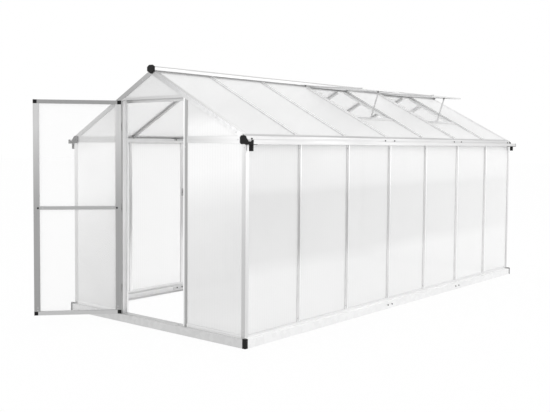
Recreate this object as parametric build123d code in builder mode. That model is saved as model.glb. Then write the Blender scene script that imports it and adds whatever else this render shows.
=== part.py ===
"""Hobby greenhouse: aluminium glazing bars, twin-wall sheets, steel base, hinged door, two roof vents.

Millimetres. X runs across the gable, Y along the length and Z up. The front gable, with the door,
faces -Y. The origin is on the ground, at the middle of the plan. The model stands with its door and
its vents open.
"""
import os
from math import atan2, cos, degrees, hypot, radians, sin, tan

from build123d import *

# Plan and heights
BASE_LENGTH = 4200.0
BASE_WIDTH = 1850.0
BASE_HEIGHT = 58.0
FRAME_SETBACK = 26.0
BAY_COUNT = 7
BAY = 600.0
SILL_TOP = 80.0
EAVE_BOTTOM = 1338.0
EAVE_FLANGE = 45.0
ROOF_PITCH = 28.0

# Steel base
BASE_SHEET = 2.0
BASE_TOP_FLANGE = 72.0
BASE_BOTTOM_FLANGE = 46.0
FOOT_SIZE = 26.0
FOOT_HEIGHT = 64.0
FOOT_ROUND = 8.0
ANCHOR_HOLE_RADIUS = 4.5
ANCHOR_INSET_X = 26.0
ANCHOR_INSET_Y = 260.0
JOINT_GAP = 0.5
SIDE_JOINTS = (-0.5 * BAY, 1.5 * BAY)

# Glazing bars: an outer flange with a rib on it, the sheet behind it, then an inner flange, on one web
FLANGE = 3.0
SHEET = 4.0
SHEET_PLAY = 0.5
SHEET_EDGE_GAP = 1.0
INNER_FLANGE = 2.5
WEB = 4.0
BAR_WIDTH = 30.0
BAR_INNER_WIDTH = 26.0
BAR_DEPTH = 32.0
UPRIGHT_DEPTH = 12.0
BAR_RIB = 8.0
BAR_RIB_HEIGHT = 11.0
CORNER_LEG = 32.0
CORNER_CORE = 16.0
CORNER_INNER_LEG = 28.0
RAFTER_LEG = 34.0
SILL_FLOOR = 3.0

# Gutter and eave rail
TROUGH_WIDTH = 66.0
TROUGH_HEIGHT = 28.0
TROUGH_DROP = 8.0
TROUGH_WALL = 2.5
TROUGH_LIP = 8.0
EAVE_WEB_RISE = 18.0
GUTTER_CAP_DEPTH = 8.0
CAP_WALL = 2.5
CAP_CORNER = 10.0
CAP_LAP = 15.0
CAP_DIP = 11.0
SLEEVE = 4.0
SLEEVE_LENGTH = 36.0
SPOUT_RADIUS = 15.0
SPOUT_BORE = 12.5
SPOUT_LENGTH = 41.0
SPOUT_OUT = 30.0
SPOUT_INSET = 17.0

# Ridge
RIDGE_WING = 50.0
RIDGE_WING_ROOT = 17.0
RIDGE_HALF = 28.0
RIDGE_SIDE_LOW = 9.0
RIDGE_SIDE_HIGH = 12.0
RIDGE_TOP = 22.0
RIDGE_BOTTOM = 25.0
RIDGE_TOP_HALF = 12.0
RIDGE_WALL = 3.0
RIDGE_CAP_RIM = 8.0
RIDGE_CAP_DEPTH = 13.0
SLOT_DEPTH = 12.0
EAVE_SLOT = 31.0
SLOT_STOP = 3.0

# Door
DOOR_OPENING = 650.0
DOOR_HINGE_GAP = 4.0
DOOR_LATCH_GAP = 10.0
DOOR_BOTTOM = 62.0
DOOR_HEAD_DROP = 216.0
DOOR_THICKNESS = 25.0
DOOR_STILE = 42.0
DOOR_RAIL = 28.0
DOOR_MID_RAIL = 24.0
DOOR_SHEET_BACK = 14.0
DOOR_SLOT = 12.0
DOOR_OPEN_ANGLE = 131.0
DOOR_CAP_PROUD = 0.5
DOOR_STOP_GAP = 1.0
POST_FLANGE = 36.0
POST_STOP = 25.0
POST_CORE = 13.0
POST_DEPTH = 40.0
POST_WALL = 3.0
HEADER_FACE = 18.0
HEADER_CORE = 9.0
HEADER_GAP = 3.0
HEADER_STOP = 21.0
HINGE_RADIUS = 4.7
HINGE_OUT = 5.0
HINGE_LENGTH = 60.0
HINGE_PIN_RADIUS = 2.5
HINGE_CLEARANCE = 0.05
HINGE_PLATE = 2.5
HINGE_PLATE_WIDTH = 26.0
HINGE_END = 190.0
PLUG_RADIUS = 7.0
PLUG_HEIGHT = 2.5
PLUG_INSET = 32.0
CATCH_HEIGHT = 50.0
CATCH_WIDTH = 18.0
CATCH_SETBACK = 0.5
CATCH_THICKNESS = 11.5
CATCH_CENTRE = 993.0
CATCH_HOLE = 4.0
CATCH_HOLE_DEPTH = 6.0
KNOB_RADIUS = 17.0
KNOB_HEIGHT = 15.0
KNOB_NECK_RADIUS = 8.0
KNOB_NECK = 16.0
KNOB_ROUND = 4.0

# Roof vents
VENT_BAYS = (3, 5)
VENT_OPEN_ANGLE = 24.0
VENT_SILL_START = 620.0
VENT_SILL_WIDTH = 40.0
VENT_SILL_WEB = 12.0
VENT_SILL_DEPTH = 24.0
VENT_SIDE_GAP = 5.0
VENT_SLOT_END = 8.0
VENT_AXIS_S = 56.0
VENT_AXIS_N = 8.0
VENT_BEAD = 4.0
VENT_BEAD_CLEARANCE = 0.06
VENT_BEAD_END = 8.0
VENT_NECK = 2.5
VENT_HOOK_WALL = 3.0
VENT_HOOK_MARGIN = 7.0
VENT_THICKNESS = 12.0
VENT_LIFT = 1.0
VENT_TOP_BAR = 32.0
VENT_SIDE_BAR = 25.0
VENT_BOTTOM_BAR = 38.0
VENT_LAP = 12.0
VENT_SLOT = 15.0

# Vent stays
STAY_WIDTH = 14.0
STAY_THICKNESS = 3.0
STAY_TAIL = 14.0
STAY_PIN_RADIUS = 3.0
STAY_CLEARANCE = 0.05
STAY_SIDE_GAP = 0.5
STAY_BRACKET = 3.0
STAY_BRACKET_WIDTH = 18.0
STAY_PIN_IN = 17.0
STAY_PIN_DROP = 9.0
STAY_PEG_IN = 14.0
STAY_PEG_DROP = 26.0
STAY_RATIO = 3.1
STAY_SLOT_PLAY = 0.6
STAY_HOLE_PITCH = 34.0
STAY_HOLE_COUNT = 4

# Splices and bolts
PLATE = 3.0
BASE_PLATE_LENGTH = 150.0
BASE_PLATE_HEIGHT = 34.0
BASE_BOLT_PITCH = 62.0
BASE_BOLT_HEIGHT = 30.0
EAVE_PLATE_LENGTH = 190.0
EAVE_PLATE_HEIGHT = 13.0
EAVE_BOLT_PITCH = 142.0
EAVE_END_BOLT = 54.0
BOLT_RADIUS = 3.0
BOLT_PLAY = 0.2
BOLT_HEAD_RADIUS = 5.5
BOLT_HEAD = 3.5
NUT_HEIGHT = 5.0

# Places worked out from the sizes above
BASE_X = BASE_WIDTH / 2
BASE_Y = BASE_LENGTH / 2
FRAME_X = BASE_X - FRAME_SETBACK
FRAME_Y = BASE_Y - FRAME_SETBACK
PITCH_COS = cos(radians(ROOF_PITCH))
PITCH_SIN = sin(radians(ROOF_PITCH))
PITCH_TAN = tan(radians(ROOF_PITCH))
EAVE_TOP = EAVE_BOTTOM + EAVE_FLANGE
EAVE_WEB = EAVE_BOTTOM + EAVE_WEB_RISE
APEX = EAVE_TOP + FRAME_X * PITCH_TAN
DOOR_TOP = APEX - DOOR_HEAD_DROP
SLOPE_END = FRAME_X / PITCH_COS
SHEET_FRONT = -FLANGE
SHEET_BACK = SHEET_FRONT - SHEET
INNER_FRONT = SHEET_BACK - SHEET_PLAY
INNER_BACK = INNER_FRONT - INNER_FLANGE
SHEET_SIDE = WEB / 2 + SHEET_EDGE_GAP
CORNER_SHEET = CORNER_CORE + SHEET_EDGE_GAP
SHEET_BOTTOM = BASE_HEIGHT + SILL_FLOOR
SHEET_TOP = EAVE_WEB - SHEET_EDGE_GAP
BAR_PLACES = [(k - BAY_COUNT / 2) * BAY for k in range(1, BAY_COUNT)]
BAR_START = RIDGE_WING
BAR_END = SLOPE_END - EAVE_SLOT
ROOF_SHEET_START = RIDGE_WING - SLOT_DEPTH
ROOF_SHEET_END = SLOPE_END - SLOT_STOP - SHEET_EDGE_GAP
RAFTER_DROP = RAFTER_LEG / PITCH_COS
OPENING_HALF = DOOR_OPENING / 2
POST_EDGE = OPENING_HALF + POST_FLANGE
POST_CORE_EDGE = OPENING_HALF + POST_CORE
STOP_FACE = -(DOOR_THICKNESS + DOOR_STOP_GAP)
STOP_BACK = STOP_FACE - POST_WALL
POST_BACK = -POST_DEPTH
TROUGH_BOTTOM = EAVE_BOTTOM - TROUGH_DROP
TROUGH_TOP = TROUGH_BOTTOM + TROUGH_HEIGHT
RAIL_INNER = FRAME_X - CORNER_LEG
GABLE_WEB = EAVE_BOTTOM + EAVE_FLANGE / 2 - WEB / 2
GABLE_FLANGE_TOP = EAVE_TOP - FLANGE / 2
REAR_POST = OPENING_HALF + BAR_INNER_WIDTH / 2 + FLANGE

RIGHT_WALL = Plane(origin=(FRAME_X, 0, 0), x_dir=(0, 1, 0), z_dir=(1, 0, 0))
LEFT_WALL = Plane(origin=(-FRAME_X, 0, 0), x_dir=(0, -1, 0), z_dir=(-1, 0, 0))
FRONT = Plane(origin=(0, -FRAME_Y, 0), x_dir=(1, 0, 0), z_dir=(0, -1, 0))
REAR = Plane(origin=(0, FRAME_Y, 0), x_dir=(-1, 0, 0), z_dir=(0, 1, 0))
RIGHT_SLOPE = Plane(origin=(0, 0, APEX), x_dir=(PITCH_COS, 0, -PITCH_SIN),
                    z_dir=(PITCH_SIN, 0, PITCH_COS))
LEFT_SLOPE = Plane(origin=(0, 0, APEX), x_dir=(-PITCH_COS, 0, -PITCH_SIN),
                   z_dir=(-PITCH_SIN, 0, PITCH_COS))
BASE_RIGHT = Plane(origin=(BASE_X, 0, 0), x_dir=(0, 1, 0), z_dir=(1, 0, 0))
BASE_LEFT = Plane(origin=(-BASE_X, 0, 0), x_dir=(0, -1, 0), z_dir=(-1, 0, 0))
BASE_FRONT = Plane(origin=(0, -BASE_Y, 0), x_dir=(1, 0, 0), z_dir=(0, -1, 0))
BASE_REAR = Plane(origin=(0, BASE_Y, 0), x_dir=(-1, 0, 0), z_dir=(0, 1, 0))

os.makedirs("parts", exist_ok=True)


def save(builder, name):
    """Label a finished piece and write it to its own file."""
    builder.part.label = name
    export_step(builder.part, f"parts/{name}.step")


def slab(plane, x_limits, y_limits, n_limits, mode=Mode.ADD):
    """A block between limits along a plane's x, its y and its outward normal."""
    middle = [(low + high) / 2 for low, high in (x_limits, y_limits, n_limits)]
    size = [high - low for low, high in (x_limits, y_limits, n_limits)]
    with Locations(plane):
        with Locations(tuple(middle)):
            Box(*size, mode=mode)


def drum(plane, x, y, n_limits, radius, mode=Mode.ADD):
    """A round block whose axis is a plane's normal."""
    with Locations(plane):
        with Locations((x, y, sum(n_limits) / 2)):
            Cylinder(radius, n_limits[1] - n_limits[0], mode=mode)


def plate(plane, points, n_limits, mode=Mode.ADD):
    """A flat piece with a straight-sided outline, drawn on a plane."""
    with BuildSketch(plane.offset(n_limits[0])) as outline:
        with BuildLine():
            Polyline(*points, close=True)
        make_face()
    extrude(outline.sketch, amount=n_limits[1] - n_limits[0], dir=plane.z_dir, mode=mode)


def upright_bar(plane, x, y_limits, rib_top):
    """A glazing bar that stands on a wall or runs down a gable, with a rib up to a height."""
    slab(plane, (x - BAR_RIB / 2, x + BAR_RIB / 2), (y_limits[0], rib_top), (0, BAR_RIB_HEIGHT))
    slab(plane, (x - BAR_WIDTH / 2, x + BAR_WIDTH / 2), y_limits, (-FLANGE, 0))
    slab(plane, (x - WEB / 2, x + WEB / 2), y_limits, (-UPRIGHT_DEPTH, -FLANGE))
    slab(plane, (x - BAR_INNER_WIDTH / 2, x + BAR_INNER_WIDTH / 2), y_limits, (INNER_BACK, INNER_FRONT))


def bay_limits(index):
    """The two side edges of the sheet in one bay, between the bars or the corners."""
    edges = [-FRAME_Y + CORNER_SHEET - SHEET_SIDE] + BAR_PLACES + [FRAME_Y - CORNER_SHEET + SHEET_SIDE]
    return edges[index] + SHEET_SIDE, edges[index + 1] - SHEET_SIDE


def runs(start, end, joints):
    """Lengths between joints, with an expansion gap at each joint."""
    cuts = sorted(joints)
    lows = [start] + [cut + JOINT_GAP / 2 for cut in cuts]
    highs = [cut - JOINT_GAP / 2 for cut in cuts] + [end]
    return list(zip(lows, highs))


def under_rafter(x, drop=RAFTER_DROP):
    """Height on a gable of a line that runs parallel to the roof, below it by a drop."""
    return APEX - abs(x) * PITCH_TAN - drop


def keep_under_rafters(plane):
    """Trim a gable piece along the lower edges of the two rafters."""
    outline = [(-FRAME_X, 0), (FRAME_X, 0), (FRAME_X, under_rafter(FRAME_X)),
               (0, under_rafter(0)), (-FRAME_X, under_rafter(FRAME_X))]
    plate(plane, outline, (-FRAME_Y / 2, FRAME_Y / 2), mode=Mode.INTERSECT)


# Steel base: folded channels with a wide top flange and an anchor flange on the ground
def base_channel(plane, start, end, start_corner, end_corner):
    """One folded channel; a corner end is mitred inside the corner foot."""
    def flange(depth, heights):
        lap = depth - FOOT_SIZE
        outline = [(start, 0), (end, 0)]
        outline += [(end, -FOOT_SIZE), (end - lap, -depth)] if end_corner else [(end, -depth)]
        outline += [(start + lap, -depth), (start, -FOOT_SIZE)] if start_corner else [(start, -depth)]
        ground = Plane(origin=plane.origin, x_dir=plane.x_dir, z_dir=(0, 0, 1))
        plate(ground, [(along, -inward) for along, inward in outline], heights)
    flange(BASE_BOTTOM_FLANGE, (0, BASE_SHEET))
    flange(BASE_TOP_FLANGE, (BASE_HEIGHT - BASE_SHEET, BASE_HEIGHT))
    slab(plane, (start, end), (BASE_SHEET, BASE_HEIGHT - BASE_SHEET), (-BASE_SHEET, 0))


def anchor_holes():
    """Ground anchor holes near the four corners, through the lower flange."""
    with GridLocations(2 * (BASE_X - ANCHOR_INSET_X), 2 * (BASE_Y - ANCHOR_INSET_Y), 2, 2):
        Cylinder(ANCHOR_HOLE_RADIUS, 4 * BASE_SHEET, mode=Mode.SUBTRACT)


def base_bolt_places(joints):
    """Where the splice bolts pass through a base side, along it."""
    return [joint + side * BASE_BOLT_PITCH / 2 for joint in joints for side in (-1, 1)]


for gable_name, gable_plane in (("base_front_rail", BASE_FRONT), ("base_rear_rail", BASE_REAR)):
    with BuildPart() as base_gable_rail:
        base_channel(gable_plane, FOOT_SIZE - BASE_X, BASE_X - FOOT_SIZE, True, True)
    save(base_gable_rail, gable_name)

SIDE_START = FOOT_SIZE - BASE_Y
for side_name, side_plane in (("base_right_rails", BASE_RIGHT), ("base_left_rails", BASE_LEFT)):
    with BuildPart() as base_side_rails:
        side_runs = runs(SIDE_START, -SIDE_START, SIDE_JOINTS)
        for run_start, run_end in side_runs:
            base_channel(side_plane, run_start, run_end, run_start == SIDE_START, run_end == -SIDE_START)
        for place in base_bolt_places(SIDE_JOINTS):
            drum(side_plane, place, BASE_BOLT_HEIGHT, (-2 * BASE_SHEET, BASE_SHEET),
                 BOLT_RADIUS + BOLT_PLAY, mode=Mode.SUBTRACT)
        anchor_holes()
    save(base_side_rails, side_name)

# Black corner feet that close the base and carry the corner posts
with BuildPart() as base_corner_feet:
    with BuildSketch():
        with Locations((BASE_X - FOOT_SIZE / 2, FOOT_SIZE / 2 - BASE_Y)):
            Rectangle(FOOT_SIZE, FOOT_SIZE)
    extrude(amount=FOOT_HEIGHT)
    outer_edge = base_corner_feet.edges().filter_by(Axis.Z).sort_by(Axis.X)[-2:].sort_by(Axis.Y)[0]
    fillet(outer_edge, FOOT_ROUND)
    mirror(about=Plane.XZ)
    mirror(about=Plane.YZ)
save(base_corner_feet, "base_corner_feet")

# Splice plates behind the base sides and behind the eave rails
EAVE_BOLT_HEIGHT = EAVE_WEB + SILL_FLOOR + EAVE_PLATE_HEIGHT / 2 + SHEET_PLAY
with BuildPart() as splice_plates:
    for side_plane, eave_plane in ((BASE_RIGHT, RIGHT_WALL), (BASE_LEFT, LEFT_WALL)):
        for joint in SIDE_JOINTS:
            slab(side_plane, (joint - BASE_PLATE_LENGTH / 2, joint + BASE_PLATE_LENGTH / 2),
                 (BASE_BOLT_HEIGHT - BASE_PLATE_HEIGHT / 2, BASE_BOLT_HEIGHT + BASE_PLATE_HEIGHT / 2),
                 (-BASE_SHEET - PLATE, -BASE_SHEET))
            slab(eave_plane, (joint - EAVE_PLATE_LENGTH / 2, joint + EAVE_PLATE_LENGTH / 2),
                 (EAVE_BOLT_HEIGHT - EAVE_PLATE_HEIGHT / 2, EAVE_BOLT_HEIGHT + EAVE_PLATE_HEIGHT / 2),
                 (-FLANGE - PLATE, -FLANGE))
        for place in base_bolt_places(SIDE_JOINTS):
            drum(side_plane, place, BASE_BOLT_HEIGHT, (-BASE_SHEET - 2 * PLATE, 0),
                 BOLT_RADIUS + BOLT_PLAY, mode=Mode.SUBTRACT)
        for joint in SIDE_JOINTS:
            for side in (-1, 1):
                drum(eave_plane, joint + side * EAVE_BOLT_PITCH / 2, EAVE_BOLT_HEIGHT,
                     (-FLANGE - 2 * PLATE, 0), BOLT_RADIUS + BOLT_PLAY, mode=Mode.SUBTRACT)
save(splice_plates, "splice_plates")


def bolt(plane, x, y, grip):
    """A round-headed bolt with its nut, clamping a stack as thick as the grip."""
    drum(plane, x, y, (0, BOLT_HEAD), BOLT_HEAD_RADIUS)
    drum(plane, x, y, (-grip - NUT_HEIGHT, 0), BOLT_RADIUS)
    with BuildSketch(plane.offset(-grip - NUT_HEIGHT)) as nut:
        with Locations((x, y)):
            RegularPolygon(BOLT_HEAD_RADIUS, 6)
    extrude(nut.sketch, amount=NUT_HEIGHT)


def eave_bolt_places(joints):
    """Along an eave: two bolts at each splice, and the ones that hold the two ends."""
    ends = [EAVE_END_BOLT - FRAME_Y, FRAME_Y - EAVE_END_BOLT]
    return [joint + side * EAVE_BOLT_PITCH / 2 for joint in joints for side in (-1, 1)], ends


with BuildPart() as frame_bolts:
    for side_plane, eave_plane in ((BASE_RIGHT, RIGHT_WALL), (BASE_LEFT, LEFT_WALL)):
        for place in base_bolt_places(SIDE_JOINTS):
            bolt(side_plane, place, BASE_BOLT_HEIGHT, BASE_SHEET + PLATE)
        splice_places, end_places = eave_bolt_places(SIDE_JOINTS)
        for place in splice_places:
            bolt(eave_plane.offset(TROUGH_WALL), place, EAVE_BOLT_HEIGHT, TROUGH_WALL + FLANGE + PLATE)
        for place in end_places:
            bolt(eave_plane.offset(TROUGH_WALL), place, EAVE_BOLT_HEIGHT, TROUGH_WALL + FLANGE)
save(frame_bolts, "frame_bolts")


# Sill rails along the foot of every wall
def sill(plane, x_limits):
    """A channel that holds the lower edge of the wall sheets."""
    slab(plane, x_limits, (BASE_HEIGHT, SILL_TOP), (-FLANGE, 0))
    slab(plane, x_limits, (BASE_HEIGHT, SHEET_BOTTOM), (-CORNER_LEG, -FLANGE))
    slab(plane, x_limits, (SHEET_BOTTOM, SILL_TOP), (INNER_BACK, INNER_FRONT))


with BuildPart() as side_sill_rails:
    for wall_plane in (RIGHT_WALL, LEFT_WALL):
        sill(wall_plane, (CORNER_LEG - FRAME_Y, FRAME_Y - CORNER_LEG))
save(side_sill_rails, "side_sill_rails")

with BuildPart() as gable_sill_rails:
    for side in (-1, 1):
        sill(FRONT, sorted((side * POST_EDGE, side * RAIL_INNER)))
    sill(REAR, (-RAIL_INNER, RAIL_INNER))
save(gable_sill_rails, "gable_sill_rails")


# Corner posts: an outer angle, a core in the corner and a flange behind each sheet
def corner_section(corner_x, corner_y, leg):
    """Blocks of the corner profile as limits inward from the outer corner, along both faces."""
    return [((0, leg), (0, FLANGE)), ((0, FLANGE), (0, leg)),
            ((FLANGE, CORNER_CORE), (FLANGE, CORNER_CORE)),
            ((CORNER_CORE, corner_x), (-INNER_FRONT, -INNER_BACK)),
            ((-INNER_FRONT, -INNER_BACK), (CORNER_CORE, corner_y))]


with BuildPart() as corner_posts:
    with BuildSketch(Plane.XY.offset(BASE_HEIGHT)):
        for across, along in corner_section(CORNER_INNER_LEG, CORNER_INNER_LEG, CORNER_LEG):
            with Locations((FRAME_X - sum(across) / 2, sum(along) / 2 - FRAME_Y)):
                Rectangle(across[1] - across[0], along[1] - along[0])
    extrude(amount=EAVE_BOTTOM - BASE_HEIGHT)
    mirror(about=Plane.XZ)
    mirror(about=Plane.YZ)
save(corner_posts, "corner_posts")

# Wall bars between the bays
for wall_name, wall_plane in (("right_wall_bars", RIGHT_WALL), ("left_wall_bars", LEFT_WALL)):
    with BuildPart() as wall_bars:
        for place in BAR_PLACES:
            upright_bar(wall_plane, place, (SILL_TOP, EAVE_BOTTOM), TROUGH_BOTTOM - JOINT_GAP)
    save(wall_bars, wall_name)


# Door posts: a front flange and a stop flange set back by the thickness of the door
def door_post(side):
    """One door post, drawn from the door opening outwards."""
    def block(inner, outer, n_limits):
        slab(FRONT, sorted((side * inner, side * outer)), (BASE_HEIGHT, APEX), n_limits)
    stop_edge = OPENING_HALF - POST_STOP
    block(OPENING_HALF, POST_EDGE, (-FLANGE, 0))
    block(OPENING_HALF, OPENING_HALF + POST_WALL, (STOP_BACK, -FLANGE))
    block(stop_edge, OPENING_HALF + POST_WALL, (STOP_BACK, STOP_FACE))
    block(stop_edge, stop_edge + POST_WALL, (POST_BACK, STOP_BACK))
    block(stop_edge, POST_CORE_EDGE, (POST_BACK, POST_BACK + POST_WALL))
    block(POST_CORE_EDGE - POST_WALL, POST_CORE_EDGE, (POST_BACK, -FLANGE))
    block(POST_CORE_EDGE, POST_EDGE - WEB / 2, (INNER_BACK, INNER_FRONT))
    keep_under_rafters(FRONT)


for post_name, post_side in (("hinge_post", -1), ("latch_post", 1)):
    with BuildPart() as post:
        door_post(post_side)
    save(post, post_name)

with BuildPart() as rear_posts:
    for side in (-1, 1):
        upright_bar(REAR, side * REAR_POST, (SILL_TOP, APEX), APEX)
    keep_under_rafters(REAR)
save(rear_posts, "rear_posts")

# Door header, with a stop flange that the top of the door closes against
HEADER_BOTTOM = DOOR_TOP + HEADER_GAP
with BuildPart() as door_header:
    def header_block(bottom, top, n_limits):
        """A length of the header, as wide as the opening at that depth."""
        half = OPENING_HALF if n_limits[1] > STOP_FACE else OPENING_HALF - POST_STOP
        slab(FRONT, (-half, half), (HEADER_BOTTOM + bottom, HEADER_BOTTOM + top), n_limits)
    header_block(0, HEADER_FACE, (-FLANGE, 0))
    header_block(0, POST_WALL, (STOP_FACE, -FLANGE))
    header_block(-HEADER_STOP, POST_WALL, (STOP_BACK, STOP_FACE))
    header_block(-HEADER_STOP, POST_WALL - HEADER_STOP, (POST_BACK, STOP_BACK))
    header_block(-HEADER_STOP, HEADER_CORE, (POST_BACK, POST_BACK + POST_WALL))
    header_block(HEADER_CORE - POST_WALL, HEADER_CORE, (POST_BACK, STOP_FACE))
    header_block(HEADER_CORE - POST_WALL, HEADER_CORE, (STOP_FACE, -FLANGE))
    header_block(HEADER_CORE, HEADER_FACE - FLANGE / 2, (INNER_BACK, INNER_FRONT))
    keep_under_rafters(FRONT)
save(door_header, "door_header")


# Gable eave bars, level with the eaves
def gable_eave_bar(plane, x_limits):
    """A bar with a sheet below its web and another above it."""
    slab(plane, x_limits, (EAVE_BOTTOM, GABLE_FLANGE_TOP), (-FLANGE, 0))
    slab(plane, x_limits, (GABLE_WEB, GABLE_WEB + WEB), (-BAR_DEPTH, -FLANGE))
    slab(plane, x_limits, (EAVE_BOTTOM + CORNER_CORE / 2, EAVE_TOP - CORNER_CORE / 2),
         (INNER_BACK, INNER_FRONT))


with BuildPart() as gable_eave_bars:
    for side in (-1, 1):
        gable_eave_bar(FRONT, sorted((side * POST_EDGE, side * RAIL_INNER)))
    keep_under_rafters(FRONT)
with BuildPart() as rear_eave_bars:
    rear_gap = REAR_POST + BAR_WIDTH / 2
    gable_eave_bar(REAR, (-RAIL_INNER, -rear_gap))
    gable_eave_bar(REAR, (BAR_WIDTH / 2 - REAR_POST, REAR_POST - BAR_WIDTH / 2))
    gable_eave_bar(REAR, (rear_gap, RAIL_INNER))
    keep_under_rafters(REAR)
save(gable_eave_bars, "front_eave_bars")
save(rear_eave_bars, "rear_eave_bars")


# Rafters along the four sloping gable edges
def rafter(slope, gable, y_sign, x_sign):
    """A corner profile laid down the slope, with its gable leg carried up to the ridge."""
    edge = y_sign * FRAME_Y
    for drop, along in corner_section(CORNER_INNER_LEG - WEB, CORNER_INNER_LEG, RAFTER_LEG):
        slab(slope, (BAR_START, BAR_END), sorted((edge - y_sign * along[0], edge - y_sign * along[1])),
             (-drop[1], -drop[0]))
    start = BAR_START * PITCH_COS
    low = start - RAFTER_LEG * PITCH_SIN
    outline = [(JOINT_GAP / 2, under_rafter(0)), (JOINT_GAP / 2, under_rafter(0, 0)),
               (start, under_rafter(start, 0)), (low, under_rafter(low))]
    plate(gable, [(x_sign * x, z) for x, z in outline], (-FLANGE, 0))


with BuildPart() as front_rafters:
    rafter(RIGHT_SLOPE, FRONT, -1, 1)
    rafter(LEFT_SLOPE, FRONT, 1, -1)
save(front_rafters, "front_rafters")

with BuildPart() as rear_rafters:
    rafter(RIGHT_SLOPE, REAR, 1, -1)
    rafter(LEFT_SLOPE, REAR, -1, 1)
save(rear_rafters, "rear_rafters")

# Roof bars between the bays
for slope_name, slope_plane in (("right_roof_bars", RIGHT_SLOPE), ("left_roof_bars", LEFT_SLOPE)):
    with BuildPart() as roof_bars:
        for place in BAR_PLACES:
            for width, n_limits in ((BAR_WIDTH, (-FLANGE, 0)), (WEB, (-BAR_DEPTH, -FLANGE)),
                                    (BAR_INNER_WIDTH, (INNER_BACK, INNER_FRONT)),
                                    (BAR_RIB, (0, BAR_RIB_HEIGHT))):
                slab(slope_plane, (BAR_START, BAR_END), (place - width / 2, place + width / 2), n_limits)
    save(roof_bars, slope_name)


# Eave rails with their gutters
def spout_holes():
    """Outlets through the bottoms of the two troughs, near both ends."""
    with Locations((0, 0, TROUGH_BOTTOM)):
        with GridLocations(2 * (FRAME_X + SPOUT_OUT), 2 * (FRAME_Y - SPOUT_INSET), 2, 2):
            Cylinder(SPOUT_BORE, 2 * SPOUT_LENGTH, mode=Mode.SUBTRACT)


def gutter_length(wall, slope, start, end):
    """One length of eave rail: it holds wall sheets below, roof sheets above and a trough outside."""
    run = (start, end)
    slab(wall, run, (EAVE_BOTTOM, EAVE_TOP), (-FLANGE, 0))
    slab(wall, run, (EAVE_BOTTOM, EAVE_WEB), (INNER_BACK, INNER_FRONT))
    slab(wall, run, (EAVE_WEB, EAVE_WEB + SILL_FLOOR), (-CORNER_LEG, -FLANGE))
    slab(wall, run, (EAVE_BOTTOM, EAVE_WEB), (-CORNER_LEG, SILL_FLOOR - CORNER_LEG))
    slab(slope, (BAR_END, SLOPE_END), run, (-FLANGE, 0))
    slab(slope, (BAR_END, SLOPE_END), run, (INNER_BACK, INNER_FRONT))
    slab(slope, (SLOPE_END - SLOT_STOP, SLOPE_END), run, (INNER_BACK, 0))
    slab(wall, run, (TROUGH_BOTTOM, EAVE_TOP), (0, TROUGH_WALL))
    slab(wall, run, (TROUGH_BOTTOM, TROUGH_BOTTOM + TROUGH_WALL), (0, TROUGH_WIDTH))
    slab(wall, run, (TROUGH_BOTTOM, TROUGH_TOP), (TROUGH_WIDTH - TROUGH_WALL, TROUGH_WIDTH))
    slab(wall, run, (TROUGH_TOP - TROUGH_WALL, TROUGH_TOP), (TROUGH_WIDTH - TROUGH_LIP, TROUGH_WIDTH))


for eave_name, eave_plane, slope_plane in (("right_gutter", RIGHT_WALL, RIGHT_SLOPE),
                                           ("left_gutter", LEFT_WALL, LEFT_SLOPE)):
    with BuildPart() as gutter:
        for run_start, run_end in runs(-FRAME_Y, FRAME_Y, SIDE_JOINTS):
            gutter_length(eave_plane, slope_plane, run_start, run_end)
        splice_places, end_places = eave_bolt_places(SIDE_JOINTS)
        for place in splice_places + end_places:
            drum(eave_plane, place, EAVE_BOLT_HEIGHT, (-2 * FLANGE, 2 * FLANGE), BOLT_RADIUS + BOLT_PLAY,
                 mode=Mode.SUBTRACT)
        spout_holes()
    save(gutter, eave_name)

# Black gutter end caps: a plate that follows the end of the rail and trough, and a sleeve below with a spout
with BuildPart() as gutter_end_caps:
    cap_left = RAIL_INNER - CAP_LAP
    cap_right = FRAME_X + TROUGH_WALL
    cap_top = EAVE_TOP + SLEEVE
    trough_out = FRAME_X + TROUGH_WIDTH
    dip = TROUGH_TOP - CAP_DIP
    cap_outline = [(cap_left, TROUGH_BOTTOM + CAP_CORNER), (cap_left + CAP_CORNER, TROUGH_BOTTOM),
                   (trough_out, TROUGH_BOTTOM), (trough_out, TROUGH_TOP),
                   (trough_out - TROUGH_LIP, TROUGH_TOP), (trough_out - TROUGH_LIP - CAP_DIP, dip),
                   (cap_right + 2 * CAP_DIP, dip), (cap_right, cap_top - CAP_CORNER),
                   (cap_right - CAP_CORNER, cap_top), (cap_left + CAP_CORNER, cap_top),
                   (cap_left, cap_top - CAP_CORNER)]
    plate(FRONT, cap_outline, (0, GUTTER_CAP_DEPTH))
    cap_end = -FRAME_Y - GUTTER_CAP_DEPTH
    sleeve_run = (cap_end, SLEEVE_LENGTH - FRAME_Y)
    slab(RIGHT_WALL, sleeve_run, (TROUGH_BOTTOM - SLEEVE, TROUGH_BOTTOM), (0, TROUGH_WIDTH))
    with Locations((FRAME_X + SPOUT_OUT, SPOUT_INSET - FRAME_Y, TROUGH_BOTTOM - SLEEVE - SPOUT_LENGTH / 2)):
        Cylinder(SPOUT_RADIUS, SPOUT_LENGTH)
    spout_holes()
    mirror(about=Plane.XZ)
    mirror(about=Plane.YZ)
save(gutter_end_caps, "gutter_end_caps")


# Ridge: a hollow six-sided beam with a wing down each slope, and a round bead for each vent
def ridge_outline(rim):
    """Half-width and height corners of the ridge beam, grown by a rim."""
    half = RIDGE_HALF + rim
    top_half = RIDGE_TOP_HALF + rim / 2
    low = APEX - RIDGE_SIDE_LOW - rim / 2
    high = APEX + RIDGE_SIDE_HIGH + rim / 2
    top = APEX + RIDGE_TOP + rim
    return [(0, APEX - RIDGE_BOTTOM - rim), (half, low), (half, high), (top_half, top),
            (-top_half, top), (-half, high), (-half, low)]


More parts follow.
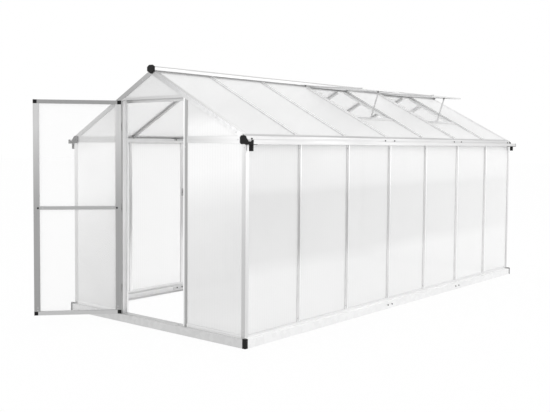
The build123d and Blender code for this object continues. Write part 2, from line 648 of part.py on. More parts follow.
def vent_limits(index):
    """The two side edges of a vent lid, over the roof bars of its bay."""
    return BAR_PLACES[index - 1] + VENT_SIDE_GAP, BAR_PLACES[index] - VENT_SIDE_GAP


with BuildPart() as ridge:
    for run_start, run_end in runs(FLANGE - FRAME_Y, FRAME_Y - FLANGE, SIDE_JOINTS):
        plate(Plane.XZ, ridge_outline(0), (-run_end, -run_start))
        plate(Plane.XZ, ridge_outline(-RIDGE_WALL), (-run_end, -run_start), mode=Mode.SUBTRACT)
        wing = (RIDGE_WING_ROOT, RIDGE_WING)
        for slope_plane, y_limits in ((RIGHT_SLOPE, (run_start, run_end)),
                                      (LEFT_SLOPE, (-run_end, -run_start))):
            slab(slope_plane, wing, y_limits, (-FLANGE, 0))
            slab(slope_plane, wing, y_limits, (INNER_BACK, INNER_FRONT))
    for vent_bay in VENT_BAYS:
        vent_start, vent_end = vent_limits(vent_bay)
        bead_run = (vent_start + VENT_BEAD_END, vent_end - VENT_BEAD_END)
        slab(RIGHT_SLOPE, (RIDGE_HALF, VENT_AXIS_S), bead_run,
             (VENT_AXIS_N - VENT_NECK / 2, VENT_AXIS_N + VENT_NECK / 2))
        bead_line = Plane(origin=RIGHT_SLOPE.from_local_coords((VENT_AXIS_S, 0, VENT_AXIS_N)),
                          x_dir=RIGHT_SLOPE.x_dir, z_dir=(0, 1, 0))
        drum(bead_line, 0, 0, bead_run, VENT_BEAD)
save(ridge, "ridge")

with BuildPart() as ridge_end_caps:
    plate(FRONT, ridge_outline(RIDGE_CAP_RIM), (0, RIDGE_CAP_DEPTH))
    chamfer(ridge_end_caps.faces().sort_by(Axis.Y)[0].edges(), CAP_WALL)
    mirror(about=Plane.XZ)
save(ridge_end_caps, "ridge_end_caps")

# Twin-wall sheets, one to a bay
SHEET_LAYER = (SHEET_BACK, SHEET_FRONT)
for wall_name, wall_plane in (("right_wall_sheets", RIGHT_WALL), ("left_wall_sheets", LEFT_WALL)):
    with BuildPart() as wall_sheets:
        for bay in range(BAY_COUNT):
            slab(wall_plane, bay_limits(bay), (SHEET_BOTTOM, SHEET_TOP), SHEET_LAYER)
    save(wall_sheets, wall_name)

for slope_name, slope_plane, opened in (("right_roof_sheets", RIGHT_SLOPE, VENT_BAYS),
                                        ("left_roof_sheets", LEFT_SLOPE, ())):
    with BuildPart() as roof_sheets:
        for bay in range(BAY_COUNT):
            start = ROOF_SHEET_START
            if bay in opened:
                start = VENT_SILL_START + VENT_SILL_WEB + WEB + SHEET_EDGE_GAP
            slab(slope_plane, (start, ROOF_SHEET_END), bay_limits(bay), SHEET_LAYER)
    save(roof_sheets, slope_name)

SHEET_SLOPE_DROP = (CORNER_CORE + SHEET_EDGE_GAP) / PITCH_COS
LOWER_TOP = GABLE_WEB - SHEET_EDGE_GAP
UPPER_BOTTOM = GABLE_WEB + WEB + SHEET_EDGE_GAP
NOTCH_X = RAIL_INNER - SHEET_EDGE_GAP
NOTCH_Z = EAVE_BOTTOM - SHEET_EDGE_GAP
SHEET_APEX = APEX - RIDGE_BOTTOM - SHEET_EDGE_GAP


def lower_gable_sheet(plane, inner, side):
    """A sheet from a post to a corner, notched round the end of the eave rail."""
    corner = FRAME_X - CORNER_SHEET
    outline = [(inner, SHEET_BOTTOM), (corner, SHEET_BOTTOM), (corner, NOTCH_Z), (NOTCH_X, NOTCH_Z),
               (NOTCH_X, LOWER_TOP), (inner, LOWER_TOP)]
    plate(plane, [(side * x, z) for x, z in outline], SHEET_LAYER)


def upper_gable_sheet(plane, inner, side):
    """A sheet above the eave bar, up to the rafter."""
    outline = [(inner, UPPER_BOTTOM), (NOTCH_X, UPPER_BOTTOM),
               (NOTCH_X, under_rafter(NOTCH_X, SHEET_SLOPE_DROP)),
               (inner, under_rafter(inner, SHEET_SLOPE_DROP))]
    plate(plane, [(side * x, z) for x, z in outline], SHEET_LAYER)


def peak_sheet(plane, half, bottom):
    """The middle sheet under the ridge, with its point cut off below the ridge beam."""
    point = (APEX - SHEET_SLOPE_DROP - SHEET_APEX) / PITCH_TAN
    outline = [(half, bottom), (half, under_rafter(half, SHEET_SLOPE_DROP)), (point, SHEET_APEX)]
    plate(plane, outline + [(-x, z) for x, z in reversed(outline)], SHEET_LAYER)


with BuildPart() as front_gable_sheets:
    inner_edge = POST_CORE_EDGE + SHEET_EDGE_GAP
    for side in (-1, 1):
        lower_gable_sheet(FRONT, inner_edge, side)
        upper_gable_sheet(FRONT, inner_edge, side)
    peak_sheet(FRONT, OPENING_HALF - SHEET_EDGE_GAP, HEADER_BOTTOM + HEADER_CORE)
save(front_gable_sheets, "front_gable_sheets")

with BuildPart() as rear_gable_sheets:
    for side in (-1, 1):
        lower_gable_sheet(REAR, REAR_POST + SHEET_SIDE, side)
        upper_gable_sheet(REAR, REAR_POST + SHEET_SIDE, side)
    slab(REAR, (SHEET_SIDE - REAR_POST, REAR_POST - SHEET_SIDE), (SHEET_BOTTOM, LOWER_TOP), SHEET_LAYER)
    peak_sheet(REAR, REAR_POST - SHEET_SIDE, UPPER_BOTTOM)
save(rear_gable_sheets, "rear_gable_sheets")

# Vent sills across the roof bars, below each vent
with BuildPart() as vent_sills:
    for vent_bay in VENT_BAYS:
        sill_run = (BAR_PLACES[vent_bay - 1] + BAR_WIDTH / 2, BAR_PLACES[vent_bay] - BAR_WIDTH / 2)
        web_start = VENT_SILL_START + VENT_SILL_WEB
        sill_end = VENT_SILL_START + VENT_SILL_WIDTH
        slab(RIGHT_SLOPE, (VENT_SILL_START, sill_end), sill_run, (-FLANGE, 0))
        slab(RIGHT_SLOPE, (web_start, web_start + WEB), sill_run, (-VENT_SILL_DEPTH, -FLANGE))
        slab(RIGHT_SLOPE, (web_start + WEB, sill_end - FLANGE), sill_run, (INNER_BACK, INNER_FRONT))
save(vent_sills, "vent_sills")

# Vent lids, drawn about their hinge bead and lifted to the open angle
VENT_TILT = ROOF_PITCH - VENT_OPEN_ANGLE
VENT_AXIS = RIGHT_SLOPE.from_local_coords((VENT_AXIS_S, 0, VENT_AXIS_N))
LID = Plane(origin=VENT_AXIS, x_dir=(cos(radians(VENT_TILT)), 0, -sin(radians(VENT_TILT))),
            z_dir=(sin(radians(VENT_TILT)), 0, cos(radians(VENT_TILT))))
LID_BACK = VENT_LIFT - VENT_AXIS_N
LID_FRONT = LID_BACK + VENT_THICKNESS
LID_END = VENT_SILL_START + VENT_LAP - VENT_AXIS_S
LID_SHEET = (LID_BACK + SHEET, LID_BACK + 2 * SHEET)
LID_SLOT = (LID_SHEET[0], LID_SHEET[1] + SHEET_PLAY)
HOOK_BORE = VENT_BEAD + VENT_BEAD_CLEARANCE
HOOK_RADIUS = HOOK_BORE + VENT_HOOK_WALL
NECK_HALF_ANGLE = degrees(atan2(VENT_NECK / 2, VENT_BEAD)) + VENT_HOOK_MARGIN
MOUTH_START = 180 - VENT_OPEN_ANGLE - NECK_HALF_ANGLE
MOUTH_END = 180 + NECK_HALF_ANGLE
STAY_PIN = (VENT_SILL_START - STAY_PIN_IN - VENT_AXIS_S, -STAY_PIN_DROP - VENT_AXIS_N + VENT_LIFT)

for number, vent_bay in enumerate(VENT_BAYS, start=1):
    lid_start, lid_end = vent_limits(vent_bay)
    lid_run = (lid_start, lid_end)
    middle = (lid_start + lid_end) / 2
    bar_end = LID_END - VENT_BOTTOM_BAR

    with BuildPart() as vent_top_bar:
        slab(LID, (0, VENT_TOP_BAR), lid_run, (LID_BACK, LID_FRONT))
        hinge_line = Plane(origin=LID.origin, x_dir=LID.x_dir, z_dir=(0, -1, 0))
        drum(hinge_line, 0, 0, (-lid_end, -lid_start), HOOK_RADIUS)
        drum(hinge_line, 0, 0, (-lid_end, -lid_start), HOOK_BORE, mode=Mode.SUBTRACT)
        mouth = [(2 * HOOK_RADIUS * cos(radians(turn)), 2 * HOOK_RADIUS * sin(radians(turn)))
                 for turn in (MOUTH_START, (MOUTH_START + MOUTH_END) / 2, MOUTH_END)]
        plate(hinge_line, [(0, 0)] + mouth, (-lid_end, -lid_start), mode=Mode.SUBTRACT)
        slab(LID, (VENT_TOP_BAR - VENT_SLOT, VENT_TOP_BAR),
             (lid_start + VENT_SLOT_END, lid_end - VENT_SLOT_END), LID_SLOT, mode=Mode.SUBTRACT)
    save(vent_top_bar, f"vent_{number}_top_bar")

    with BuildPart() as vent_side_bars:
        for edge, inward in ((lid_start, 1), (lid_end, -1)):
            slab(LID, (VENT_TOP_BAR, bar_end), sorted((edge, edge + inward * VENT_SIDE_BAR)),
                 (LID_BACK, LID_FRONT))
            slab(LID, (VENT_TOP_BAR, bar_end),
                 sorted((edge + inward * (VENT_SIDE_BAR - VENT_SLOT), edge + inward * VENT_SIDE_BAR)),
                 LID_SLOT, mode=Mode.SUBTRACT)
    save(vent_side_bars, f"vent_{number}_side_bars")

    with BuildPart() as vent_bottom_bar:
        slab(LID, (bar_end, LID_END), lid_run, (LID_BACK, LID_FRONT))
        slab(LID, (bar_end, bar_end + VENT_SLOT), (lid_start + VENT_SLOT_END, lid_end - VENT_SLOT_END),
             LID_SLOT, mode=Mode.SUBTRACT)
    save(vent_bottom_bar, f"vent_{number}_bottom_bar")

    with BuildPart() as vent_sheet:
        side_inset = VENT_SIDE_BAR - VENT_SLOT + SHEET_EDGE_GAP
        slab(LID, (VENT_TOP_BAR - VENT_SLOT + SHEET_EDGE_GAP, bar_end + VENT_SLOT - SHEET_EDGE_GAP),
             (lid_start + side_inset, lid_end - side_inset), LID_SHEET)
    save(vent_sheet, f"vent_{number}_sheet")

    # Bracket under the lid, with the pin that the stay hangs on
    with BuildPart() as stay_bracket:
        pin_line = Plane(origin=LID.from_local_coords((STAY_PIN[0], middle, STAY_PIN[1])),
                         x_dir=LID.x_dir, z_dir=(0, -1, 0))
        near = STAY_THICKNESS / 2 + STAY_SIDE_GAP
        slab(LID, (STAY_PIN[0] - STAY_BRACKET_WIDTH / 2, STAY_PIN[0] + STAY_BRACKET_WIDTH / 2),
             (middle - near - STAY_BRACKET, middle - near), (STAY_PIN[1], LID_BACK))
        drum(pin_line, 0, 0, (near, near + STAY_BRACKET), STAY_BRACKET_WIDTH / 2)
        drum(pin_line, 0, 0, (-STAY_THICKNESS / 2, near), STAY_PIN_RADIUS)
    save(stay_bracket, f"vent_{number}_stay_bracket")

    # Flat stay, with its notch over the peg of the sill
    peg_point = RIGHT_SLOPE.from_local_coords((VENT_SILL_START - STAY_PEG_IN, middle, -STAY_PEG_DROP))
    pin_point = LID.from_local_coords((STAY_PIN[0], middle, STAY_PIN[1]))
    reach = hypot(peg_point.X - pin_point.X, peg_point.Z - pin_point.Z)
    down = ((peg_point.X - pin_point.X) / reach, (peg_point.Z - pin_point.Z) / reach)
    # The peg leaves the notch along its path as the lid and the stay turn together
    path_x = -(peg_point.Z - VENT_AXIS.Z) - STAY_RATIO * (peg_point.Z - pin_point.Z)
    path_z = (peg_point.X - VENT_AXIS.X) + STAY_RATIO * (peg_point.X - pin_point.X)
    stay_plane = Plane(origin=pin_point, x_dir=(down[0], 0, down[1]), z_dir=(0, -1, 0))
    leave = degrees(atan2(path_x * stay_plane.y_dir.X + path_z * stay_plane.y_dir.Z,
                          path_x * down[0] + path_z * down[1]))
    with BuildPart() as stay:
        with BuildSketch(stay_plane.offset(-STAY_THICKNESS / 2)):
            with Locations(((reach + STAY_TAIL) / 2, 0)):
                SlotCenterToCenter(reach + STAY_TAIL, STAY_WIDTH)
            Circle(STAY_PIN_RADIUS + STAY_CLEARANCE, mode=Mode.SUBTRACT)
            with Locations(*[(reach - (step + 1) * STAY_HOLE_PITCH, 0) for step in range(STAY_HOLE_COUNT)]):
                Circle(STAY_PIN_RADIUS, mode=Mode.SUBTRACT)
            with Locations((reach, 0)):
                Circle(STAY_PIN_RADIUS + STAY_SLOT_PLAY, mode=Mode.SUBTRACT)
                Rectangle(2 * STAY_WIDTH, 2 * (STAY_PIN_RADIUS + STAY_SLOT_PLAY), rotation=leave,
                          align=(Align.MIN, Align.CENTER), mode=Mode.SUBTRACT)
        extrude(amount=STAY_THICKNESS)
    save(stay, f"vent_{number}_stay")

# Peg brackets on the vent sills, one for each stay
with BuildPart() as stay_pegs:
    for vent_bay in VENT_BAYS:
        middle = sum(vent_limits(vent_bay)) / 2
        near = STAY_THICKNESS / 2 + STAY_SIDE_GAP
        peg_s = VENT_SILL_START - STAY_PEG_IN
        slab(RIGHT_SLOPE, (peg_s - 2 * STAY_PIN_RADIUS, VENT_SILL_START + VENT_SILL_WEB),
             (middle + near, middle + near + STAY_BRACKET), (-STAY_PEG_DROP - 2 * STAY_PIN_RADIUS, -FLANGE))
        peg_line = Plane(origin=RIGHT_SLOPE.from_local_coords((peg_s, middle, -STAY_PEG_DROP)),
                         x_dir=RIGHT_SLOPE.x_dir, z_dir=(0, 1, 0))
        drum(peg_line, 0, 0, (-STAY_THICKNESS / 2, near), STAY_PIN_RADIUS)
save(stay_pegs, "stay_pegs")

# Door leaf, drawn about its hinge line and swung to the open angle
TURN = radians(DOOR_OPEN_ANGLE)
LEAF = Plane(origin=(DOOR_HINGE_GAP - OPENING_HALF, -FRAME_Y - HINGE_OUT, 0),
             x_dir=(cos(TURN), -sin(TURN), 0), z_dir=(-sin(TURN), -cos(TURN), 0))
LEAF_START = DOOR_HINGE_GAP
LEAF_END = DOOR_OPENING - DOOR_HINGE_GAP - DOOR_LATCH_GAP
LEAF_FACE = -HINGE_OUT
LEAF_BACK = LEAF_FACE - DOOR_THICKNESS
LEAF_SHEET = (LEAF_FACE - DOOR_SHEET_BACK, LEAF_FACE - DOOR_SHEET_BACK + SHEET)
LEAF_SLOT = (LEAF_SHEET[0], LEAF_SHEET[1] + SHEET_PLAY)
MID_RAIL = (DOOR_BOTTOM + DOOR_TOP) / 2
MID_LIMITS = (MID_RAIL - DOOR_MID_RAIL / 2, MID_RAIL + DOOR_MID_RAIL / 2)
STILE_LIMITS = (DOOR_BOTTOM + DOOR_RAIL, DOOR_TOP - DOOR_RAIL)
INSIDE = (LEAF_START + DOOR_STILE, LEAF_END - DOOR_STILE)
RAIL_RUN = (LEAF_START + DOOR_RAIL, LEAF_END - DOOR_RAIL)
BODY = (LEAF_BACK, LEAF_FACE)

for stile_name, stile_run, groove in (
        ("door_hinge_stile", (LEAF_START, INSIDE[0]), (INSIDE[0] - DOOR_SLOT, INSIDE[0])),
        ("door_latch_stile", (INSIDE[1], LEAF_END), (INSIDE[1], INSIDE[1] + DOOR_SLOT))):
    with BuildPart() as stile:
        slab(LEAF, stile_run, STILE_LIMITS, BODY)
        slab(LEAF, groove, STILE_LIMITS, LEAF_SLOT, mode=Mode.SUBTRACT)
    save(stile, stile_name)

for rail_name, rail_run, rail_limits, grooves in (
        ("door_top_rail", RAIL_RUN, (STILE_LIMITS[1], DOOR_TOP),
         [(STILE_LIMITS[1], STILE_LIMITS[1] + DOOR_SLOT)]),
        ("door_mid_rail", INSIDE, MID_LIMITS,
         [(MID_LIMITS[0], MID_LIMITS[0] + DOOR_SLOT - WEB),
          (MID_LIMITS[1] - DOOR_SLOT + WEB, MID_LIMITS[1])]),
        ("door_bottom_rail", RAIL_RUN, (DOOR_BOTTOM, STILE_LIMITS[0]),
         [(STILE_LIMITS[0] - DOOR_SLOT, STILE_LIMITS[0])])):
    with BuildPart() as rail:
        slab(LEAF, rail_run, rail_limits, BODY)
        for groove in grooves:
            slab(LEAF, (INSIDE[0] - DOOR_SLOT, INSIDE[1] + DOOR_SLOT), groove, LEAF_SLOT,
                 mode=Mode.SUBTRACT)
    save(rail, rail_name)

with BuildPart() as door_sheets:
    sheet_run = (INSIDE[0] - DOOR_SLOT + SHEET_EDGE_GAP, INSIDE[1] + DOOR_SLOT - SHEET_EDGE_GAP)
    tuck = DOOR_SLOT - SHEET_EDGE_GAP
    slab(LEAF, sheet_run, (STILE_LIMITS[0] - tuck, MID_LIMITS[0] + tuck - WEB), LEAF_SHEET)
    slab(LEAF, sheet_run, (MID_LIMITS[1] - tuck + WEB, STILE_LIMITS[1] + tuck), LEAF_SHEET)
save(door_sheets, "door_sheets")

with BuildPart() as door_corner_caps:
    for run in ((LEAF_START, RAIL_RUN[0]), (RAIL_RUN[1], LEAF_END)):
        for limits in ((DOOR_BOTTOM, STILE_LIMITS[0]), (STILE_LIMITS[1], DOOR_TOP)):
            slab(LEAF, run, limits, (LEAF_BACK - DOOR_CAP_PROUD, LEAF_FACE + DOOR_CAP_PROUD))
save(door_corner_caps, "door_corner_caps")

with BuildPart() as door_rail_plugs:
    for place in (LEAF_START + PLUG_INSET, LEAF_END - PLUG_INSET):
        drum(LEAF, place, MID_RAIL, (LEAF_BACK - PLUG_HEIGHT, LEAF_BACK), PLUG_RADIUS)
save(door_rail_plugs, "door_rail_plugs")

with BuildPart() as door_knob:
    knob_place = LEAF_END - DOOR_STILE / 2
    knob_face = LEAF_FACE + KNOB_NECK
    drum(LEAF, knob_place, CATCH_CENTRE, (knob_face, knob_face + KNOB_HEIGHT), KNOB_RADIUS)
    fillet(door_knob.edges(), KNOB_ROUND)
    drum(LEAF, knob_place, CATCH_CENTRE, (LEAF_FACE, knob_face), KNOB_NECK_RADIUS)
save(door_knob, "door_knob")

# Door hinges: a knuckle with its pin on the post, and a knuckle on the leaf above it
HINGE_PLACES = (DOOR_BOTTOM + HINGE_END, MID_RAIL, DOOR_TOP - HINGE_END)
HINGE_AXIS = (LEAF.origin.X, LEAF.origin.Y)
with BuildPart() as hinge_post_leaves:
    for height in HINGE_PLACES:
        limits = (height - HINGE_LENGTH / 2, height - HINGE_CLEARANCE)
        slab(FRONT, (HINGE_AXIS[0] - HINGE_PLATE_WIDTH, HINGE_AXIS[0] - HINGE_PIN_RADIUS), limits,
             (0, HINGE_PLATE))
        with Locations((HINGE_AXIS[0], HINGE_AXIS[1], sum(limits) / 2)):
            Cylinder(HINGE_RADIUS, limits[1] - limits[0])
            Cylinder(HINGE_PIN_RADIUS + HINGE_CLEARANCE, limits[1] - limits[0], mode=Mode.SUBTRACT)
save(hinge_post_leaves, "hinge_post_leaves")

with BuildPart() as hinge_door_leaves:
    for height in HINGE_PLACES:
        limits = (height + HINGE_CLEARANCE, height + HINGE_LENGTH / 2)
        slab(LEAF, (HINGE_PIN_RADIUS, HINGE_PLATE_WIDTH), limits, (LEAF_FACE, LEAF_FACE + HINGE_PLATE))
        with Locations((HINGE_AXIS[0], HINGE_AXIS[1], sum(limits) / 2)):
            Cylinder(HINGE_RADIUS, limits[1] - limits[0])
            Cylinder(HINGE_PIN_RADIUS + HINGE_CLEARANCE, limits[1] - limits[0], mode=Mode.SUBTRACT)
save(hinge_door_leaves, "hinge_door_leaves")

with BuildPart() as hinge_pins:
    with Locations(*[(HINGE_AXIS[0], HINGE_AXIS[1], height) for height in HINGE_PLACES]):
        Cylinder(HINGE_PIN_RADIUS, HINGE_LENGTH)
save(hinge_pins, "hinge_pins")

# Catch block on the edge of the stop of the latch post
with BuildPart() as door_catch:
    catch_face = STOP_FACE - CATCH_SETBACK
    catch_run = (OPENING_HALF - POST_STOP - CATCH_WIDTH, OPENING_HALF - POST_STOP)
    slab(FRONT, catch_run, (CATCH_CENTRE - CATCH_HEIGHT / 2, CATCH_CENTRE + CATCH_HEIGHT / 2),
         (catch_face - CATCH_THICKNESS, catch_face))
    drum(FRONT, sum(catch_run) / 2, CATCH_CENTRE, (catch_face - CATCH_HOLE_DEPTH, catch_face), CATCH_HOLE,
         mode=Mode.SUBTRACT)
save(door_catch, "door_catch")
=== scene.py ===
"""Looks of the greenhouse: finishes for its bars, sheets, base and mouldings, and its small trim.

Metres, in the frame of the solids: X across the gable, Y along the length, Z up, door gable at -Y.
"""
import math

import bpy
from mathutils import Matrix, Vector


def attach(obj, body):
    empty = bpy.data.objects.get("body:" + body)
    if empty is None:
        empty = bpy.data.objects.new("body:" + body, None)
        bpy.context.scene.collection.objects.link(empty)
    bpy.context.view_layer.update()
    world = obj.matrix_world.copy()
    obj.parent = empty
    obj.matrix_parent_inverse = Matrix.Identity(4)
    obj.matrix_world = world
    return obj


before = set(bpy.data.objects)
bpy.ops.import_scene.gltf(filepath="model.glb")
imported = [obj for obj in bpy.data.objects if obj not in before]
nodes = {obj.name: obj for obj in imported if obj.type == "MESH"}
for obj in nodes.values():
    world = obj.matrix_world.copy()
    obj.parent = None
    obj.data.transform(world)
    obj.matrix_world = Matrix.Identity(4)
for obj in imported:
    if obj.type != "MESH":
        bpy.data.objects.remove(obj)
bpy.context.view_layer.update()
scene = bpy.context.scene

# Sizes of the frame that the trim follows, in millimetres
MM = 0.001
FRAME_X = 899
FRAME_Y = 2074
BAY = 600
BAR_PLACES = [BAY * (step - 2.5) for step in range(6)]
SILL_TOP = 80
EAVE_BOTTOM = 1338
EAVE_TOP = 1383
PITCH = math.radians(28)
APEX = EAVE_TOP + FRAME_X * math.tan(PITCH)
BAR_START = 50
BAR_END = FRAME_X / math.cos(PITCH) - 31
DOOR_HINGE = Vector((-321, -2079, 0))
DOOR_TURN = math.radians(131)
DOOR_ALONG = (math.cos(DOOR_TURN), -math.sin(DOOR_TURN), 0)
DOOR_OUT = (-math.sin(DOOR_TURN), -math.cos(DOOR_TURN), 0)
VENT_MIDDLES = (0, 1200)
VENT_HINGE = Vector((53.2008, 0, 1841.78))
VENT_TILT = math.radians(4)
LID_ALONG = (math.cos(VENT_TILT), 0, -math.sin(VENT_TILT))
LID_OUT = (math.sin(VENT_TILT), 0, math.cos(VENT_TILT))


def srgb(code):
    """Linear colour of an sRGB hex code."""
    parts = [int(code[start:start + 2], 16) / 255 for start in (0, 2, 4)]
    return [part / 12.92 if part <= 0.04045 else ((part + 0.055) / 1.055) ** 2.4
            for part in parts] + [1.0]


def add(tree, kind, inputs=None, **settings):
    """Add a node, give it its settings, and fill its inputs with values or with links.

    Inputs go by name or by number. Map Range reads from 1 to 2 and gives from 3 to 4; a colour
    Mix goes from 6 to 7, and its result is output 2.
    """
    item = tree.nodes.new(kind)
    for name, value in settings.items():
        setattr(item, name, value)
    for key, value in (inputs or {}).items():
        if isinstance(value, bpy.types.NodeSocket):
            tree.links.new(value, item.inputs[key])
        else:
            item.inputs[key].default_value = value
    return item


def blank_material(name):
    """A named material with an empty node tree."""
    material = bpy.data.materials.new(name)
    material.use_nodes = True
    material.node_tree.nodes.clear()
    return material, material.node_tree


def fill_stops(ramp, stops):
    """Give a colour ramp its stops, from (place, hex code) pairs."""
    band = ramp.color_ramp
    while len(band.elements) < len(stops):
        band.elements.new(1.0)
    for element, (place, code) in zip(band.elements, stops):
        element.position = place
        element.color = srgb(code)


# Twin-wall polycarbonate: extruded clear, two skins on fine webs. Seen from a few metres it is a
# milky white that lets light through and blurs what stands behind it, with the webs as faint
# parallel lines.
# Webs stand 6 mm apart; they are drawn 24 mm apart, because finer lines don't show at this size
WEB_SPACING = 0.024
WEB_EDGES = (0.02, 0.14)
WEB_SHARE = 0.12
WEB_GREY = "C9C9C9"
# Painted shade in soft patches about 0.7 m wide, standing for light through the skins that changes
# slowly; the patches also move the tones
PATCHES_PER_METRE = 1.4
PATCH_LIFT = 0.05
PATCH_SHARE = 0.35
TONE_REACH = 2.0
# A wall catches the key light towards the rear
WALL_FADE_FROM, WALL_FADE_TO = -1.5, 2.1
WALL_FADED = "F2F2F2"
# An inner skin has the daylight behind it
INNER_FACING = 0.2
INNER_WHITE = "FDFDFD"
# The skins let most daylight through to the inside, though they blur what is behind them
DAYLIGHT_PASSED = 0.98


def twin_wall(name, across, tones, milk, patch_shade, lean=0.0, fade=0.0, inward=None):
    """A sheet whose webs lie across a direction; tones are (height in metres, hex) stops.

    Milk is how much the skins hide, and the patch colour is the painted shade of their soft
    patches.
    The tones are painted shade and reflection; lean slants them, and fade is the share of them that
    is lost towards the rear, to the painted light of the key. The skin that faces inward, where a
    direction is given, is painted bright, as if lit by the daylight behind it.
    """
    material, tree = blank_material(name)
    place = add(tree, "ShaderNodeTexCoord").outputs["Object"]
    split = add(tree, "ShaderNodeSeparateXYZ", {0: place})
    count = add(tree, "ShaderNodeVectorMath",
                {0: place, 1: [part / WEB_SPACING for part in across]}, operation="DOT_PRODUCT")
    tooth = add(tree, "ShaderNodeMath", {0: count.outputs["Value"], 1: 0.5}, operation="PINGPONG")
    web = add(tree, "ShaderNodeMapRange",
              {0: tooth.outputs[0], 1: WEB_EDGES[0], 2: WEB_EDGES[1], 3: 1.0, 4: 0.0},
              interpolation_type="SMOOTHSTEP")
    cloud = add(tree, "ShaderNodeTexNoise",
                {"Vector": place, "Scale": PATCHES_PER_METRE, "Detail": 1.0}).outputs[0]
    slant = add(tree, "ShaderNodeMath", {0: split.outputs[0], 1: lean, 2: split.outputs[2]},
                operation="MULTIPLY_ADD")
    waver = add(tree, "ShaderNodeMath", {0: cloud, 1: PATCH_LIFT, 2: slant.outputs[0]},
                operation="MULTIPLY_ADD")
    # The tones by height are painted shade and painted reflection, moved by the patches
    level = add(tree, "ShaderNodeMapRange",
                {0: waver.outputs[0], 1: PATCH_LIFT / 2, 2: PATCH_LIFT / 2 + TONE_REACH})
    ramp = add(tree, "ShaderNodeValToRGB", {0: level.outputs[0]})
    fill_stops(ramp, [(height / TONE_REACH, code) for height, code in tones])
    ground = ramp.outputs[0]
    if fade:
        far = add(tree, "ShaderNodeMapRange",
                  {0: split.outputs[1], 1: WALL_FADE_FROM, 2: WALL_FADE_TO, 3: 0.0, 4: fade})
        ground = add(tree, "ShaderNodeMix", {0: far.outputs[0], 6: ground, 7: srgb(WALL_FADED)},
                     data_type="RGBA").outputs[2]
    # Soft patches tinted towards their colour of painted shade
    patch = add(tree, "ShaderNodeMapRange", {0: cloud, 1: 0.35, 2: 0.65, 3: 0.0, 4: PATCH_SHARE})
    ground = add(tree, "ShaderNodeMix", {0: patch.outputs[0], 6: ground, 7: srgb(patch_shade)},
                 data_type="RGBA").outputs[2]
    # The inner skin is painted bright, as if lit by the daylight behind it
    if inward:
        surface = add(tree, "ShaderNodeNewGeometry")
        turned = add(tree, "ShaderNodeVectorMath",
                     {0: surface.outputs["True Normal"], 1: inward}, operation="DOT_PRODUCT")
        inner = add(tree, "ShaderNodeMath", {0: turned.outputs["Value"], 1: INNER_FACING},
                    operation="GREATER_THAN")
        ground = add(tree, "ShaderNodeMix", {0: inner.outputs[0], 6: ground, 7: srgb(INNER_WHITE)},
                     data_type="RGBA").outputs[2]
    share = add(tree, "ShaderNodeMath", {0: web.outputs[0], 1: WEB_SHARE}, operation="MULTIPLY")
    tint = add(tree, "ShaderNodeMix", {0: share.outputs[0], 6: ground, 7: srgb(WEB_GREY)},
               data_type="RGBA")
    frost = add(tree, "ShaderNodeMapRange", {0: cloud, 1: 0.3, 2: 0.7, 3: 0.34, 4: 0.46})
    ridge = add(tree, "ShaderNodeBump",
                {"Strength": 0.06, "Distance": 0.001, "Height": web.outputs[0]})
    skin = add(tree, "ShaderNodeBsdfPrincipled", {
        "Base Color": tint.outputs[2], "Roughness": frost.outputs[0], "IOR": 1.58, "Alpha": milk,
        "Normal": ridge.outputs[0]})
    path = add(tree, "ShaderNodeLightPath")
    lit = add(tree, "ShaderNodeMath",
              {0: path.outputs["Is Shadow Ray"], 1: path.outputs["Is Diffuse Ray"]},
              operation="MAXIMUM")
    passed = add(tree, "ShaderNodeMath", {0: lit.outputs[0], 1: DAYLIGHT_PASSED},
                 operation="MULTIPLY")
    open_way = add(tree, "ShaderNodeBsdfTransparent", {"Color": srgb("FFFFFF")})
    sheet = add(tree, "ShaderNodeMixShader",
                {0: passed.outputs[0], 1: skin.outputs[0], 2: open_way.outputs[0]})
    add(tree, "ShaderNodeOutputMaterial", {0: sheet.outputs[0]})
    return material


# Mill-finish aluminium: extruded and left bare. A satin grey with fine draw lines along each bar;
# uprights are painted a deeper grey at about hand height, and the posts and door stiles lower down
# too, as painted reflection and shade.
LINE_GREY = "B7B7B7"
LINE_SHARE = 0.25
# Wall bars catch the key light towards the rear
BAR_FADE_FROM, BAR_FADE_TO = -1.2, 0.9
BAR_FADED = "FEFEFE"
SIDE_FACING = 0.5


